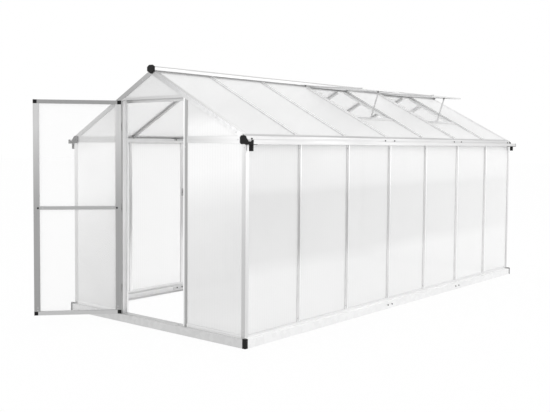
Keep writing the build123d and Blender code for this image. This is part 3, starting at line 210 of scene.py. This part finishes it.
def mill_aluminium(name, grain, tones, axis=2, turn=(0, 0, 0), side=None, fade=0.0):
    """An extrusion; grain is its draw lines per metre along X, Y and Z, laid along it by turn.

    Tones are (place in metres, hex) stops along an axis, which carry painted shade and reflection.
    Side, where it is given, is the colour of the faces that look along X, a painted highlight. Fade
    is the share of the tones that is lost towards the rear, to the painted light of the key.
    """
    material, tree = blank_material(name)
    place = add(tree, "ShaderNodeTexCoord").outputs["Object"]
    split = add(tree, "ShaderNodeSeparateXYZ", {0: place})
    lie = add(tree, "ShaderNodeMapping", {"Vector": place, "Rotation": turn, "Scale": grain})
    streak = add(tree, "ShaderNodeTexNoise",
                 {"Vector": lie.outputs[0], "Scale": 1.0, "Detail": 2.0}).outputs[0]
    first, last = tones[0][0], tones[-1][0]
    level = add(tree, "ShaderNodeMapRange", {0: split.outputs[axis], 1: first, 2: last})
    ramp = add(tree, "ShaderNodeValToRGB", {0: level.outputs[0]})
    fill_stops(ramp, [((stop - first) / (last - first), code) for stop, code in tones])
    ground = ramp.outputs[0]
    # Faces that look along X take a painted highlight
    if side:
        surface = add(tree, "ShaderNodeNewGeometry")
        facing = add(tree, "ShaderNodeVectorMath", {0: surface.outputs["True Normal"]},
                     operation="ABSOLUTE")
        sideways = add(tree, "ShaderNodeSeparateXYZ", {0: facing.outputs[0]})
        chosen = add(tree, "ShaderNodeMath", {0: sideways.outputs[0], 1: SIDE_FACING},
                     operation="GREATER_THAN")
        ground = add(tree, "ShaderNodeMix", {0: chosen.outputs[0], 6: ground, 7: srgb(side)},
                     data_type="RGBA").outputs[2]
    if fade:
        far = add(tree, "ShaderNodeMapRange",
                  {0: split.outputs[1], 1: BAR_FADE_FROM, 2: BAR_FADE_TO, 3: 0.0, 4: fade})
        ground = add(tree, "ShaderNodeMix", {0: far.outputs[0], 6: ground, 7: srgb(BAR_FADED)},
                     data_type="RGBA").outputs[2]
    share = add(tree, "ShaderNodeMapRange", {0: streak, 1: 0.35, 2: 0.7, 3: 0.0, 4: LINE_SHARE})
    tint = add(tree, "ShaderNodeMix", {0: share.outputs[0], 6: ground, 7: srgb(LINE_GREY)},
               data_type="RGBA")
    sheen = add(tree, "ShaderNodeMapRange", {0: streak, 1: 0.3, 2: 0.7, 3: 0.30, 4: 0.44})
    score = add(tree, "ShaderNodeBump", {"Strength": 0.08, "Distance": 0.0005, "Height": streak})
    metal = add(tree, "ShaderNodeBsdfPrincipled", {
        "Base Color": tint.outputs[2], "Metallic": 1.0, "Roughness": sheen.outputs[0],
        "Normal": score.outputs[0]})
    add(tree, "ShaderNodeOutputMaterial", {0: metal.outputs[0]})
    return material


# Galvanised sheet steel: hot-dipped and folded. A dull pale grey with a faint spangle of zinc
# crystals.
# Zinc spangle is about 12 mm across; it is drawn 35 mm across so that it shows
SPANGLE = 0.035


def galvanised_steel(name, dark, light):
    """Folded sheet whose spangle goes from a dark to a light grey."""
    material, tree = blank_material(name)
    place = add(tree, "ShaderNodeTexCoord").outputs["Object"]
    spangle = add(tree, "ShaderNodeTexVoronoi", {"Vector": place, "Scale": 1 / SPANGLE})
    shade = add(tree, "ShaderNodeRGBToBW", {0: spangle.outputs["Color"]}).outputs[0]
    ramp = add(tree, "ShaderNodeValToRGB", {0: shade})
    fill_stops(ramp, [(0.2, dark), (0.8, light)])
    sheen = add(tree, "ShaderNodeMapRange", {0: shade, 1: 0.0, 2: 1.0, 3: 0.46, 4: 0.54})
    metal = add(tree, "ShaderNodeBsdfPrincipled", {
        "Base Color": ramp.outputs[0], "Metallic": 1.0, "Roughness": sheen.outputs[0]})
    add(tree, "ShaderNodeOutputMaterial", {0: metal.outputs[0]})
    return material


# Zinc-plated steel: plated and lightly clouded. Hinges and brackets are a darker grey than the
# bars, stays and rivets are bright, and the frame's bolts are a near-black grey.
PLATING_CLOUD = 0.008


def zinc_plated_steel(name, dark, light):
    """Plated steel whose clouds go from a dark to a light grey."""
    material, tree = blank_material(name)
    place = add(tree, "ShaderNodeTexCoord").outputs["Object"]
    cloud = add(tree, "ShaderNodeTexNoise",
                {"Vector": place, "Scale": 1 / PLATING_CLOUD, "Detail": 2.0}).outputs[0]
    ramp = add(tree, "ShaderNodeValToRGB", {0: cloud})
    fill_stops(ramp, [(0.35, dark), (0.65, light)])
    sheen = add(tree, "ShaderNodeMapRange", {0: cloud, 1: 0.3, 2: 0.7, 3: 0.26, 4: 0.4})
    metal = add(tree, "ShaderNodeBsdfPrincipled", {
        "Base Color": ramp.outputs[0], "Metallic": 1.0, "Roughness": sheen.outputs[0]})
    add(tree, "ShaderNodeOutputMaterial", {0: metal.outputs[0]})
    return material


# Black polypropylene: moulded with a fine spark-eroded grain. Nearly black, with a soft broad
# sheen.
# The grain is under 1 mm; it is drawn 4 mm wide so that it shows
MOULD_GRAIN = 0.004


def moulded_black(name):
    """The black of the feet, caps, plugs and knob."""
    material, tree = blank_material(name)
    place = add(tree, "ShaderNodeTexCoord").outputs["Object"]
    grain = add(tree, "ShaderNodeTexNoise",
                {"Vector": place, "Scale": 1 / MOULD_GRAIN, "Detail": 3.0}).outputs[0]
    ramp = add(tree, "ShaderNodeValToRGB", {0: grain})
    fill_stops(ramp, [(0.3, "060606"), (0.7, "121212")])
    sheen = add(tree, "ShaderNodeMapRange", {0: grain, 1: 0.3, 2: 0.7, 3: 0.42, 4: 0.6})
    pits = add(tree, "ShaderNodeBump", {"Strength": 0.15, "Distance": 0.0005, "Height": grain})
    shell = add(tree, "ShaderNodeBsdfPrincipled", {
        "Base Color": ramp.outputs[0], "Roughness": sheen.outputs[0], "IOR": 1.49,
        "Specular IOR Level": 0.25, "Normal": pits.outputs[0]})
    add(tree, "ShaderNodeOutputMaterial", {0: shell.outputs[0]})
    return material


# Soft PVC seal: extruded, clear grey and a little dusty.
# Dust gathers in patches about 60 mm long
DUST_PATCH = 0.06


def soft_seal(name):
    """The bead beside each glazing bar."""
    material, tree = blank_material(name)
    place = add(tree, "ShaderNodeTexCoord").outputs["Object"]
    dust = add(tree, "ShaderNodeTexNoise",
               {"Vector": place, "Scale": 1 / DUST_PATCH, "Detail": 2.0}).outputs[0]
    ramp = add(tree, "ShaderNodeValToRGB", {0: dust})
    fill_stops(ramp, [(0.35, "C1C1C1"), (0.7, "D6D6D6")])
    matt = add(tree, "ShaderNodeMapRange", {0: dust, 1: 0.3, 2: 0.7, 3: 0.45, 4: 0.65})
    rubber = add(tree, "ShaderNodeBsdfPrincipled", {
        "Base Color": ramp.outputs[0], "Roughness": matt.outputs[0], "IOR": 1.53})
    add(tree, "ShaderNodeOutputMaterial", {0: rubber.outputs[0]})
    return material


# Tones of the sheets, by height: painted shade and painted reflection, such as the grey band across
# the walls at mid-height, the darker foot and top of the gables, and the shading of the roof; the
# far tones are painted light
WALL_TONES = [(0.06, "F0F0F0"), (0.46, "EEEEEE"), (0.56, "DFDFDF"), (0.98, "DADADA"),
              (1.04, "E4E4E4"), (1.20, "ECECEC"), (1.32, "F9F9F9")]
FAR_TONES = [(0.06, "EFEFEF"), (0.70, "F1F1F1"), (1.20, "F4F4F4"), (1.36, "EEEEEE"),
             (1.85, "EBEBEB")]
GABLE_TONES = [(0.05, "E4E4E4"), (0.18, "DCDCDC"), (0.50, "DDDDDD"), (0.80, "E6E6E6"),
               (1.06, "FAFAFA"), (1.38, "FCFCFC"), (1.48, "E2E2E2"), (1.85, "DADADA")]
ROOF_TONES = [(1.36, "EBEBEB"), (1.60, "E7E7E7"), (1.85, "EDEDED")]
DOOR_TONES = [(0.06, "F6F6F6"), (0.80, "F9F9F9"), (1.60, "FAFAFA")]

# Each sheet's patch colour is its painted shade
wall_sheet = twin_wall("twin_wall_polycarbonate_walls", (0, 1, 0), WALL_TONES,
                       milk=0.80, patch_shade="E7E7E7", fade=0.4)
# The left side and rear gable are paler copies of the sheet, painted light for where they are seen
# from inside
left_sheet = twin_wall("twin_wall_polycarbonate_left_side", (0, 1, 0), FAR_TONES,
                       milk=0.60, patch_shade="E9E9E9", inward=(1, 0, 0))
gable_sheet = twin_wall("twin_wall_polycarbonate_gables", (1, 0, 0), GABLE_TONES,
                        milk=0.80, patch_shade="E9E9E9", lean=-0.15)
rear_sheet = twin_wall("twin_wall_polycarbonate_rear_gable", (1, 0, 0), FAR_TONES,
                       milk=0.60, patch_shade="E9E9E9", inward=(0, -1, 0))
roof_sheet = twin_wall("twin_wall_polycarbonate_roof", (0, 1, 0), ROOF_TONES,
                       milk=0.80, patch_shade="E3E3E3")
door_sheet = twin_wall("twin_wall_polycarbonate_door", DOOR_ALONG, DOOR_TONES,
                       milk=0.16, patch_shade="F7F7F7")

# Tones of the bars, by height: painted reflection and shade, a deeper grey at mid-height on the
# wall bars, darker lower down on the door stiles, and darker towards the top on the door rails
WALL_BAR_TONES = [(0.10, "FCFCFC"), (0.45, "F8F8F8"), (0.62, "DCDCDC"), (0.90, "DCDCDC"),
                  (1.05, "ECECEC"), (1.30, "FCFCFC")]
DOOR_STILE_TONES = [(0.10, "9C9C9C"), (0.30, "A1A1A1"), (0.83, "A7A7A7"), (1.20, "C2C2C2"),
                    (1.45, "D6D6D6")]
DOOR_RAIL_TONES = [(0.06, "C5C5C5"), (0.85, "B3B3B3"), (1.60, "A0A0A0")]
# Lit and shaded copies of one aluminium: the pale tones are painted light on the left gutter, vent
# sills, sill rails and rear rafters, which stand in shade, and the even tones are the plain grey;
# the right slope bars are painted pale and the left slope bars grey, as painted light and shade
EVEN_TONES = [(0.0, "C6C6C6"), (2.0, "CBCBCB")]
PALE_TONES = [(0.0, "EDEDED"), (2.0, "F1F1F1")]
SLOPE_TONES = [(1.3, "F7F7F7"), (1.9, "FAFAFA")]
FAR_SLOPE_TONES = [(1.3, "D4D4D4"), (1.9, "DADADA")]
# Corner and rear posts: painted reflection, darker towards the foot, with a painted highlight on
# the faces that look along X
POST_TONES = [(0.10, "C4C4C4"), (0.60, "CACACA"), (1.00, "D8D8D8"), (1.40, "E6E6E6")]
POST_SIDE = "E0E0E0"
# Door posts are painted darker on the front face, as painted reflection and shade, and painted
# bright where the door stands by them, as painted light; the hinge post's stops go along the
# length, and the latch post's across the gable
HINGE_POST_TONES = [(-2.074, "ABABAB"), (-2.070, "ABABAB"), (-2.066, "FBFBFB"),
                    (-2.034, "FBFBFB")]
LATCH_POST_TONES = [(0.300, "F8F8F8"), (0.336, "F8F8F8"), (0.340, "A9A9A9"), (0.361, "A9A9A9")]
# Gable bars and rafters grow paler towards the right, where they catch the light
GABLE_BAR_TONES = [(-0.90, "C3C3C3"), (0.20, "C9C9C9"), (0.55, "DEDEDE"), (0.90, "F7F7F7")]
RAFTER_TONES = [(-0.90, "B6B6B6"), (-0.40, "A8A8A8"), (-0.05, "ACACAC"), (0.10, "C0C0C0"),
                (0.30, "CCCCCC"), (0.55, "DEDEDE"), (0.90, "F7F7F7")]

# Draw lines are about 0.5 mm wide; they are drawn 5 mm wide and 0.5 m long so that they show, and
# shorter on the rafters, which lean both ways
FINE = 1 / 0.005
LONG = 1 / 0.5
SHORT = 30
UPRIGHT = (FINE, FINE, LONG)
LENGTHWISE = (FINE, LONG, FINE)
CROSSWISE = (LONG, FINE, FINE)
LEANING = (SHORT, FINE, SHORT)

wall_bar = mill_aluminium("mill_aluminium_wall_bars", UPRIGHT, WALL_BAR_TONES, fade=1.0)
post = mill_aluminium("mill_aluminium_posts", UPRIGHT, POST_TONES, side=POST_SIDE)
hinge_side_post = mill_aluminium("mill_aluminium_hinge_post", UPRIGHT, HINGE_POST_TONES, axis=1)
latch_side_post = mill_aluminium("mill_aluminium_latch_post", UPRIGHT, LATCH_POST_TONES, axis=0)
long_bar = mill_aluminium("mill_aluminium_lengthwise", LENGTHWISE, EVEN_TONES)
pale_long_bar = mill_aluminium("mill_aluminium_left_side", LENGTHWISE, PALE_TONES)
pale_cross_bar = mill_aluminium("mill_aluminium_gable_sills", CROSSWISE, PALE_TONES)
cross_bar = mill_aluminium("mill_aluminium_crosswise", CROSSWISE, EVEN_TONES)
right_slope_bar = mill_aluminium("mill_aluminium_right_slope", CROSSWISE, SLOPE_TONES,
                                 turn=(0, -PITCH, 0))
left_slope_bar = mill_aluminium("mill_aluminium_left_slope", CROSSWISE, FAR_SLOPE_TONES,
                                turn=(0, PITCH, 0))
rafter = mill_aluminium("mill_aluminium_rafters", LEANING, RAFTER_TONES, axis=0)
rear_rafter = mill_aluminium("mill_aluminium_rear_rafters", LEANING, PALE_TONES)
gable_bar = mill_aluminium("mill_aluminium_gable_eaves", CROSSWISE, GABLE_BAR_TONES, axis=0)
door_rail = mill_aluminium("mill_aluminium_door_rails", CROSSWISE, DOOR_RAIL_TONES,
                           turn=(0, 0, DOOR_TURN))
door_stile = mill_aluminium("mill_aluminium_door_stiles", UPRIGHT, DOOR_STILE_TONES)
# The gable rails are a shaded copy, painted darker grey, and the side rails a lit copy, painted
# paler where the key light falls
gable_base = galvanised_steel("galvanised_steel_gable_rails", "CDCDCD", "D4D4D4")
side_base = galvanised_steel("galvanised_steel_side_rails", "EDEDED", "F2F2F2")
plated = zinc_plated_steel("zinc_plated_steel", "919191", "ACACAC")
near_black_bolts = zinc_plated_steel("near_black_steel_bolts", "171717", "252525")
bright = zinc_plated_steel("bright_zinc_plated_steel", "CBCBCB", "DCDCDC")
black = moulded_black("moulded_black_polypropylene")
seal = soft_seal("soft_pvc_seal")

FINISHES = {
    hinge_side_post: ["hinge_post"],
    latch_side_post: ["latch_post"],
    post: ["corner_posts", "rear_posts"],
    wall_bar: ["right_wall_bars", "left_wall_bars"],
    door_stile: ["door_hinge_stile", "door_latch_stile"],
    long_bar: ["ridge", "right_gutter", "vent_1_top_bar", "vent_2_top_bar", "vent_1_bottom_bar",
               "vent_2_bottom_bar"],
    pale_cross_bar: ["gable_sill_rails"],
    pale_long_bar: ["left_gutter", "vent_sills", "side_sill_rails"],
    gable_bar: ["front_eave_bars", "rear_eave_bars"],
    cross_bar: ["door_header", "vent_1_side_bars", "vent_2_side_bars"],
    right_slope_bar: ["right_roof_bars"],
    rafter: ["front_rafters"],
    rear_rafter: ["rear_rafters"],
    left_slope_bar: ["left_roof_bars"],
    door_rail: ["door_top_rail", "door_mid_rail", "door_bottom_rail"],
    gable_base: ["base_front_rail", "base_rear_rail"],
    side_base: ["base_right_rails", "base_left_rails"],
    near_black_bolts: ["frame_bolts"],
    plated: ["stay_pegs", "hinge_pins", "hinge_post_leaves", "hinge_door_leaves",
             "vent_1_stay_bracket", "vent_2_stay_bracket", "door_catch"],
    bright: ["vent_1_stay", "vent_2_stay", "splice_plates"],
    black: ["base_corner_feet", "gutter_end_caps", "ridge_end_caps", "door_corner_caps",
            "door_rail_plugs", "door_knob"],
    wall_sheet: ["right_wall_sheets"],
    left_sheet: ["left_wall_sheets", "left_roof_sheets"],
    gable_sheet: ["front_gable_sheets"],
    rear_sheet: ["rear_gable_sheets"],
    roof_sheet: ["right_roof_sheets", "vent_1_sheet", "vent_2_sheet"],
    door_sheet: ["door_sheets"],
}
for finish, names in FINISHES.items():
    for name in names:
        slots = nodes[name].data.materials
        if len(slots):
            for index in range(len(slots)):
                slots[index] = finish
        else:
            slots.append(finish)


# Trim made by rule: rivets set on points, and seals swept along lines
def trim_tree(name, inputs):
    """A geometry tree with its named inputs, and the node that gives them."""
    tree = bpy.data.node_groups.new(name, "GeometryNodeTree")
    tree.interface.new_socket("Set out", in_out="INPUT", socket_type="NodeSocketGeometry")
    for label, kind in inputs:
        tree.interface.new_socket(label, in_out="INPUT", socket_type=kind)
    tree.interface.new_socket("Trim", in_out="OUTPUT", socket_type="NodeSocketGeometry")
    return tree, add(tree, "NodeGroupInput").outputs


rivets, given = trim_tree("domed_rivets", [
    ("Head radius", "NodeSocketFloat"), ("Head height", "NodeSocketFloat"),
    ("Finish", "NodeSocketMaterial")])
ball = add(rivets, "GeometryNodeMeshUVSphere", {"Segments": 10, "Rings": 6, "Radius": 1.0})
squat = add(rivets, "ShaderNodeCombineXYZ",
            {0: given["Head radius"], 1: given["Head radius"], 2: given["Head height"]})
dome = add(rivets, "GeometryNodeTransform",
           {"Geometry": ball.outputs[0], "Scale": squat.outputs[0]})
aim = add(rivets, "GeometryNodeInputNamedAttribute", {"Name": "aim"}, data_type="FLOAT_VECTOR")
stand = add(rivets, "FunctionNodeAlignRotationToVector", {"Vector": aim.outputs[0]}, axis="Z")
sown = add(rivets, "GeometryNodeInstanceOnPoints", {
    "Points": given["Set out"], "Instance": dome.outputs[0], "Rotation": stand.outputs[0]})
solid = add(rivets, "GeometryNodeRealizeInstances", {0: sown.outputs[0]})
smooth = add(rivets, "GeometryNodeSetShadeSmooth", {0: solid.outputs[0]})
coated = add(rivets, "GeometryNodeSetMaterial",
             {0: smooth.outputs[0], "Material": given["Finish"]})
add(rivets, "NodeGroupOutput", {0: coated.outputs[0]})

seals, given = trim_tree("swept_seals", [
    ("Bead radius", "NodeSocketFloat"), ("Finish", "NodeSocketMaterial")])
line = add(seals, "GeometryNodeMeshToCurve", {0: given["Set out"]})
bead = add(seals, "GeometryNodeCurvePrimitiveCircle",
           {"Resolution": 8, "Radius": given["Bead radius"]})
swept = add(seals, "GeometryNodeCurveToMesh",
            {0: line.outputs[0], 1: bead.outputs[0], "Fill Caps": True})
solid = add(seals, "GeometryNodeRealizeInstances", {0: swept.outputs[0]})
coated = add(seals, "GeometryNodeSetMaterial",
             {0: solid.outputs[0], "Material": given["Finish"]})
add(seals, "NodeGroupOutput", {0: coated.outputs[0]})

# Inputs of the trees: the rivets of the frame and lids, of the door, and the seals
RIVET = {"Head radius": 0.0045, "Head height": 0.002, "Finish": bright}
DOOR_RIVET = {"Head radius": 0.004, "Head height": 0.0018, "Finish": bright}
BEAD = {"Bead radius": 0.0022, "Finish": seal}


def make_trim(name, tree, mesh, sizes, body):
    """Run a tree on its set-out mesh, keep the result as a plain mesh and tie it to its body."""
    piece = bpy.data.objects.new(name, mesh)
    scene.collection.objects.link(piece)
    maker = piece.modifiers.new(name, "NODES")
    maker.node_group = tree
    for item in tree.interface.items_tree:
        if item.in_out == "INPUT" and item.name in sizes:
            maker[item.identifier] = sizes[item.name]
    made = piece.evaluated_get(bpy.context.evaluated_depsgraph_get())
    plain = bpy.data.meshes.new_from_object(made)
    piece.modifiers.clear()
    piece.data = plain
    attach(piece, body)


def rivet_mesh(name, spots):
    """Points for rivets, from (place in millimetres, direction) pairs."""
    mesh = bpy.data.meshes.new(name)
    mesh.from_pydata([Vector(place) * MM for place, _ in spots], [], [])
    aims = mesh.attributes.new("aim", "FLOAT_VECTOR", "POINT")
    for entry, (_, direction) in zip(aims.data, spots):
        entry.vector = direction
    return mesh


def seal_mesh(name, runs):
    """Lines for seals, from (start, end) pairs in millimetres."""
    mesh = bpy.data.meshes.new(name)
    ends = [Vector(end) * MM for run in runs for end in run]
    mesh.from_pydata(ends, [(2 * index, 2 * index + 1) for index in range(len(runs))], [])
    return mesh


def on_slope(side, s, y, n):
    """A place on a roof slope: distance down it, along the ridge, and out from it."""
    return Vector((side * (s * math.cos(PITCH) + n * math.sin(PITCH)), y,
                   APEX - s * math.sin(PITCH) + n * math.cos(PITCH)))


def slope_out(side):
    """The direction that a roof slope faces."""
    return Vector((side * math.sin(PITCH), 0, math.cos(PITCH)))


def on_door(x, z, n):
    """A place on the door leaf: from the hinge line, up, and out from the outer face."""
    return DOOR_HINGE + Vector(DOOR_ALONG) * x + Vector(DOOR_OUT) * n + Vector((0, 0, z))


def on_lid(s, y, n):
    """A place on an open vent lid: from its hinge, along the ridge, and out from it."""
    return VENT_HINGE + Vector(LID_ALONG) * s + Vector(LID_OUT) * n + Vector((0, y, 0))


# Rivets of the frame, in millimetres: beside the ribs of the bars, and down the posts, eave bars
# and rafters of both gables
BESIDE_RIB = (-9.5, 9.5)
WALL_BAR_ENDS = (SILL_TOP + 25, EAVE_BOTTOM - 35)
SLOPE_BAR_ENDS = (BAR_START + 20, BAR_END - 25)
POST_MIDDLES = (FRAME_X - 16, 343)
POST_ENDS = (SILL_TOP + 30, EAVE_BOTTOM - 30)
EAVE_BAR_ENDS = (FRAME_X - 70, 380)
EAVE_BAR_MIDDLE = EAVE_BOTTOM + 22
RAFTER_STEPS = (120, 420, 720, 930)
RAFTER_MIDDLE = -20
frame_spots = []
for side in (-1, 1):
    for y in BAR_PLACES:
        # The closed lids cover the upper ends of the bars beside the vents
        beside_vent = side == 1 and any(abs(y - middle) == BAY / 2 for middle in VENT_MIDDLES)
        for beside in BESIDE_RIB:
            for z in WALL_BAR_ENDS:
                frame_spots.append(((side * FRAME_X, y + beside, z), (side, 0, 0)))
            for s in SLOPE_BAR_ENDS[1:] if beside_vent else SLOPE_BAR_ENDS:
                frame_spots.append((on_slope(side, s, y + beside, 0), slope_out(side)))
    for end in (-1, 1):
        gable = (0, end, 0)
        for x in POST_MIDDLES:
            for z in POST_ENDS:
                frame_spots.append(((side * x, end * FRAME_Y, z), gable))
        for x in EAVE_BAR_ENDS:
            frame_spots.append(((side * x, end * FRAME_Y, EAVE_BAR_MIDDLE), gable))
        for s in RAFTER_STEPS:
            frame_spots.append((on_slope(side, s, end * FRAME_Y, RAFTER_MIDDLE), gable))
make_trim("frame_rivets", rivets, rivet_mesh("frame_rivets", frame_spots), RIVET, "frame")

# Rivets of the door, on its outer and inner faces: two at each corner and at the middle rail
STILE_MIDDLES = (30, 610)
CORNER_HEIGHTS = (98, 118, 1589, 1609)
RAIL_ENDS = (70, 570)
RAIL_HEIGHT = 853.5
OUTER_FACE, INNER_FACE = -5, -30
door_places = [(x, z) for x in STILE_MIDDLES for z in CORNER_HEIGHTS]
door_places += [(x, RAIL_HEIGHT) for x in RAIL_ENDS]
door_spots = []
for x, z in door_places:
    door_spots.append((on_door(x, z, OUTER_FACE), Vector(DOOR_OUT)))
    door_spots.append((on_door(x, z, INNER_FACE), -Vector(DOOR_OUT)))
make_trim("door_rivets", rivets, rivet_mesh("door_rivets", door_spots), DOOR_RIVET, "door")

# Rivets of the lids, at their corners
LID_SIDES = (-283, 283)
LID_ENDS = (14, 556)
LID_FACE = 5
for number, middle in enumerate(VENT_MIDDLES, start=1):
    lid_spots = [(on_lid(s, middle + y, LID_FACE), LID_OUT) for y in LID_SIDES for s in LID_ENDS]
    make_trim(f"vent_{number}_rivets", rivets, rivet_mesh(f"vent_{number}_rivets", lid_spots),
              RIVET, f"vent_{number}")

# Seals along both edges of each bar, a little below its face and short of its ends
BAR_EDGES = (-15, 15)
SEAL_DEPTH = 2
WALL_SEAL_SHORT = 2
SLOPE_SEAL_SHORT = 4
seal_runs = []
for side in (-1, 1):
    for y in BAR_PLACES:
        for edge in BAR_EDGES:
            seal_runs.append([(side * (FRAME_X - SEAL_DEPTH), y + edge, z)
                              for z in (SILL_TOP + WALL_SEAL_SHORT, EAVE_BOTTOM - WALL_SEAL_SHORT)])
            seal_runs.append([on_slope(side, s, y + edge, -SEAL_DEPTH)
                              for s in (BAR_START + SLOPE_SEAL_SHORT, BAR_END - SLOPE_SEAL_SHORT)])
make_trim("glazing_seals", seals, seal_mesh("glazing_seals", seal_runs), BEAD, "frame")

# Studio: a white floor and surround, a soft key from the right rear, a weak front light and a
# broad top light. Where the floor is seen, most of it is plain white, so its shadow is light.
FLOOR_REACH = 60.0
FLOOR_HEIGHT = -0.001
FLOOR_WHITE_SHARE = 0.94


def stage_floor():
    """A wide pale floor that keeps a light shadow of the object."""
    material, tree = blank_material("studio_floor_white")
    path = add(tree, "ShaderNodeLightPath")
    seen = add(tree, "ShaderNodeMath",
               {0: path.outputs["Is Camera Ray"], 1: path.outputs["Is Glossy Ray"]})
    seen = add(tree, "ShaderNodeMath",
               {0: seen.outputs[0], 1: path.outputs["Is Transmission Ray"]}, use_clamp=True)
    share = add(tree, "ShaderNodeMath", {0: seen.outputs[0], 1: FLOOR_WHITE_SHARE},
                operation="MULTIPLY")
    paper = add(tree, "ShaderNodeBsdfDiffuse", {"Color": srgb("F4F4F4")})
    glow = add(tree, "ShaderNodeEmission", {"Color": srgb("FFFFFF"), "Strength": 1.0})
    both = add(tree, "ShaderNodeMixShader",
               {0: share.outputs[0], 1: paper.outputs[0], 2: glow.outputs[0]})
    add(tree, "ShaderNodeOutputMaterial", {0: both.outputs[0]})
    mesh = bpy.data.meshes.new("studio_floor")
    corners = [(x * FLOOR_REACH, y * FLOOR_REACH, FLOOR_HEIGHT)
               for x, y in ((-1, -1), (1, -1), (1, 1), (-1, 1))]
    mesh.from_pydata(corners, [], [(0, 1, 2, 3)])
    mesh.materials.append(material)
    floor = bpy.data.objects.new("studio_floor", mesh)
    scene.collection.objects.link(floor)


stage_floor()

world = bpy.data.worlds.new("studio_surround")
scene.world = world
world.use_nodes = True
sky = world.node_tree
sky.nodes.clear()
white = add(sky, "ShaderNodeBackground", {"Color": srgb("FFFFFF"), "Strength": 1.0})
add(sky, "ShaderNodeOutputWorld", {0: white.outputs[0]})


def softbox(name, place, aim, size, power):
    """A rectangular soft lamp that the camera doesn't see."""
    lamp = bpy.data.lights.new(name, "AREA")
    lamp.shape = "RECTANGLE"
    lamp.size, lamp.size_y = size
    lamp.energy = power
    box = bpy.data.objects.new(name, lamp)
    turn = (Vector(aim) - Vector(place)).to_track_quat("-Z", "Y")
    box.matrix_world = Matrix.Translation(place) @ turn.to_matrix().to_4x4()
    box.visible_camera = False
    scene.collection.objects.link(box)


softbox("key_softbox", place=(7.5, 6.5, 3.2), aim=(0.0, 0.0, 0.9), size=(7.0, 5.0), power=150)
softbox("front_softbox", place=(-2.5, -8.0, 3.5), aim=(0.0, -2.0, 1.0), size=(5.0, 4.0), power=45)
softbox("top_softbox", place=(1.0, 0.0, 6.5), aim=(0.0, 0.0, 1.0), size=(6.0, 8.0), power=20)

# Camera, from the lines of the base, eaves and bars: lengths on the image are in pixels, its place
# in metres and its turns in degrees
IMAGE_WIDTH = 550
FOCAL_PIXELS = 805.3
SHIFT_RIGHT, SHIFT_UP = 18.01, -17.98
SENSOR_WIDTH = 36.0
VIEW_REACH = 200.0
CAMERA_PLACE = (4.32, -5.9888, 1.3243)
CAMERA_HEADING = 40.348
CAMERA_DIP = 3.05
CAMERA_ROLL = 0.393
lens = bpy.data.cameras.new("camera")
lens.sensor_width = SENSOR_WIDTH
lens.lens = SENSOR_WIDTH * FOCAL_PIXELS / IMAGE_WIDTH
lens.shift_x = SHIFT_RIGHT / IMAGE_WIDTH
lens.shift_y = SHIFT_UP / IMAGE_WIDTH
lens.clip_end = VIEW_REACH
camera = bpy.data.objects.new("camera", lens)
camera.matrix_world = (Matrix.Translation(CAMERA_PLACE)
                       @ Matrix.Rotation(math.radians(CAMERA_HEADING), 4, "Z")
                       @ Matrix.Rotation(math.radians(90 - CAMERA_DIP), 4, "X")
                       @ Matrix.Rotation(math.radians(CAMERA_ROLL), 4, "Z"))
scene.collection.objects.link(camera)
scene.camera = camera
scene.view_settings.view_transform = "Standard"
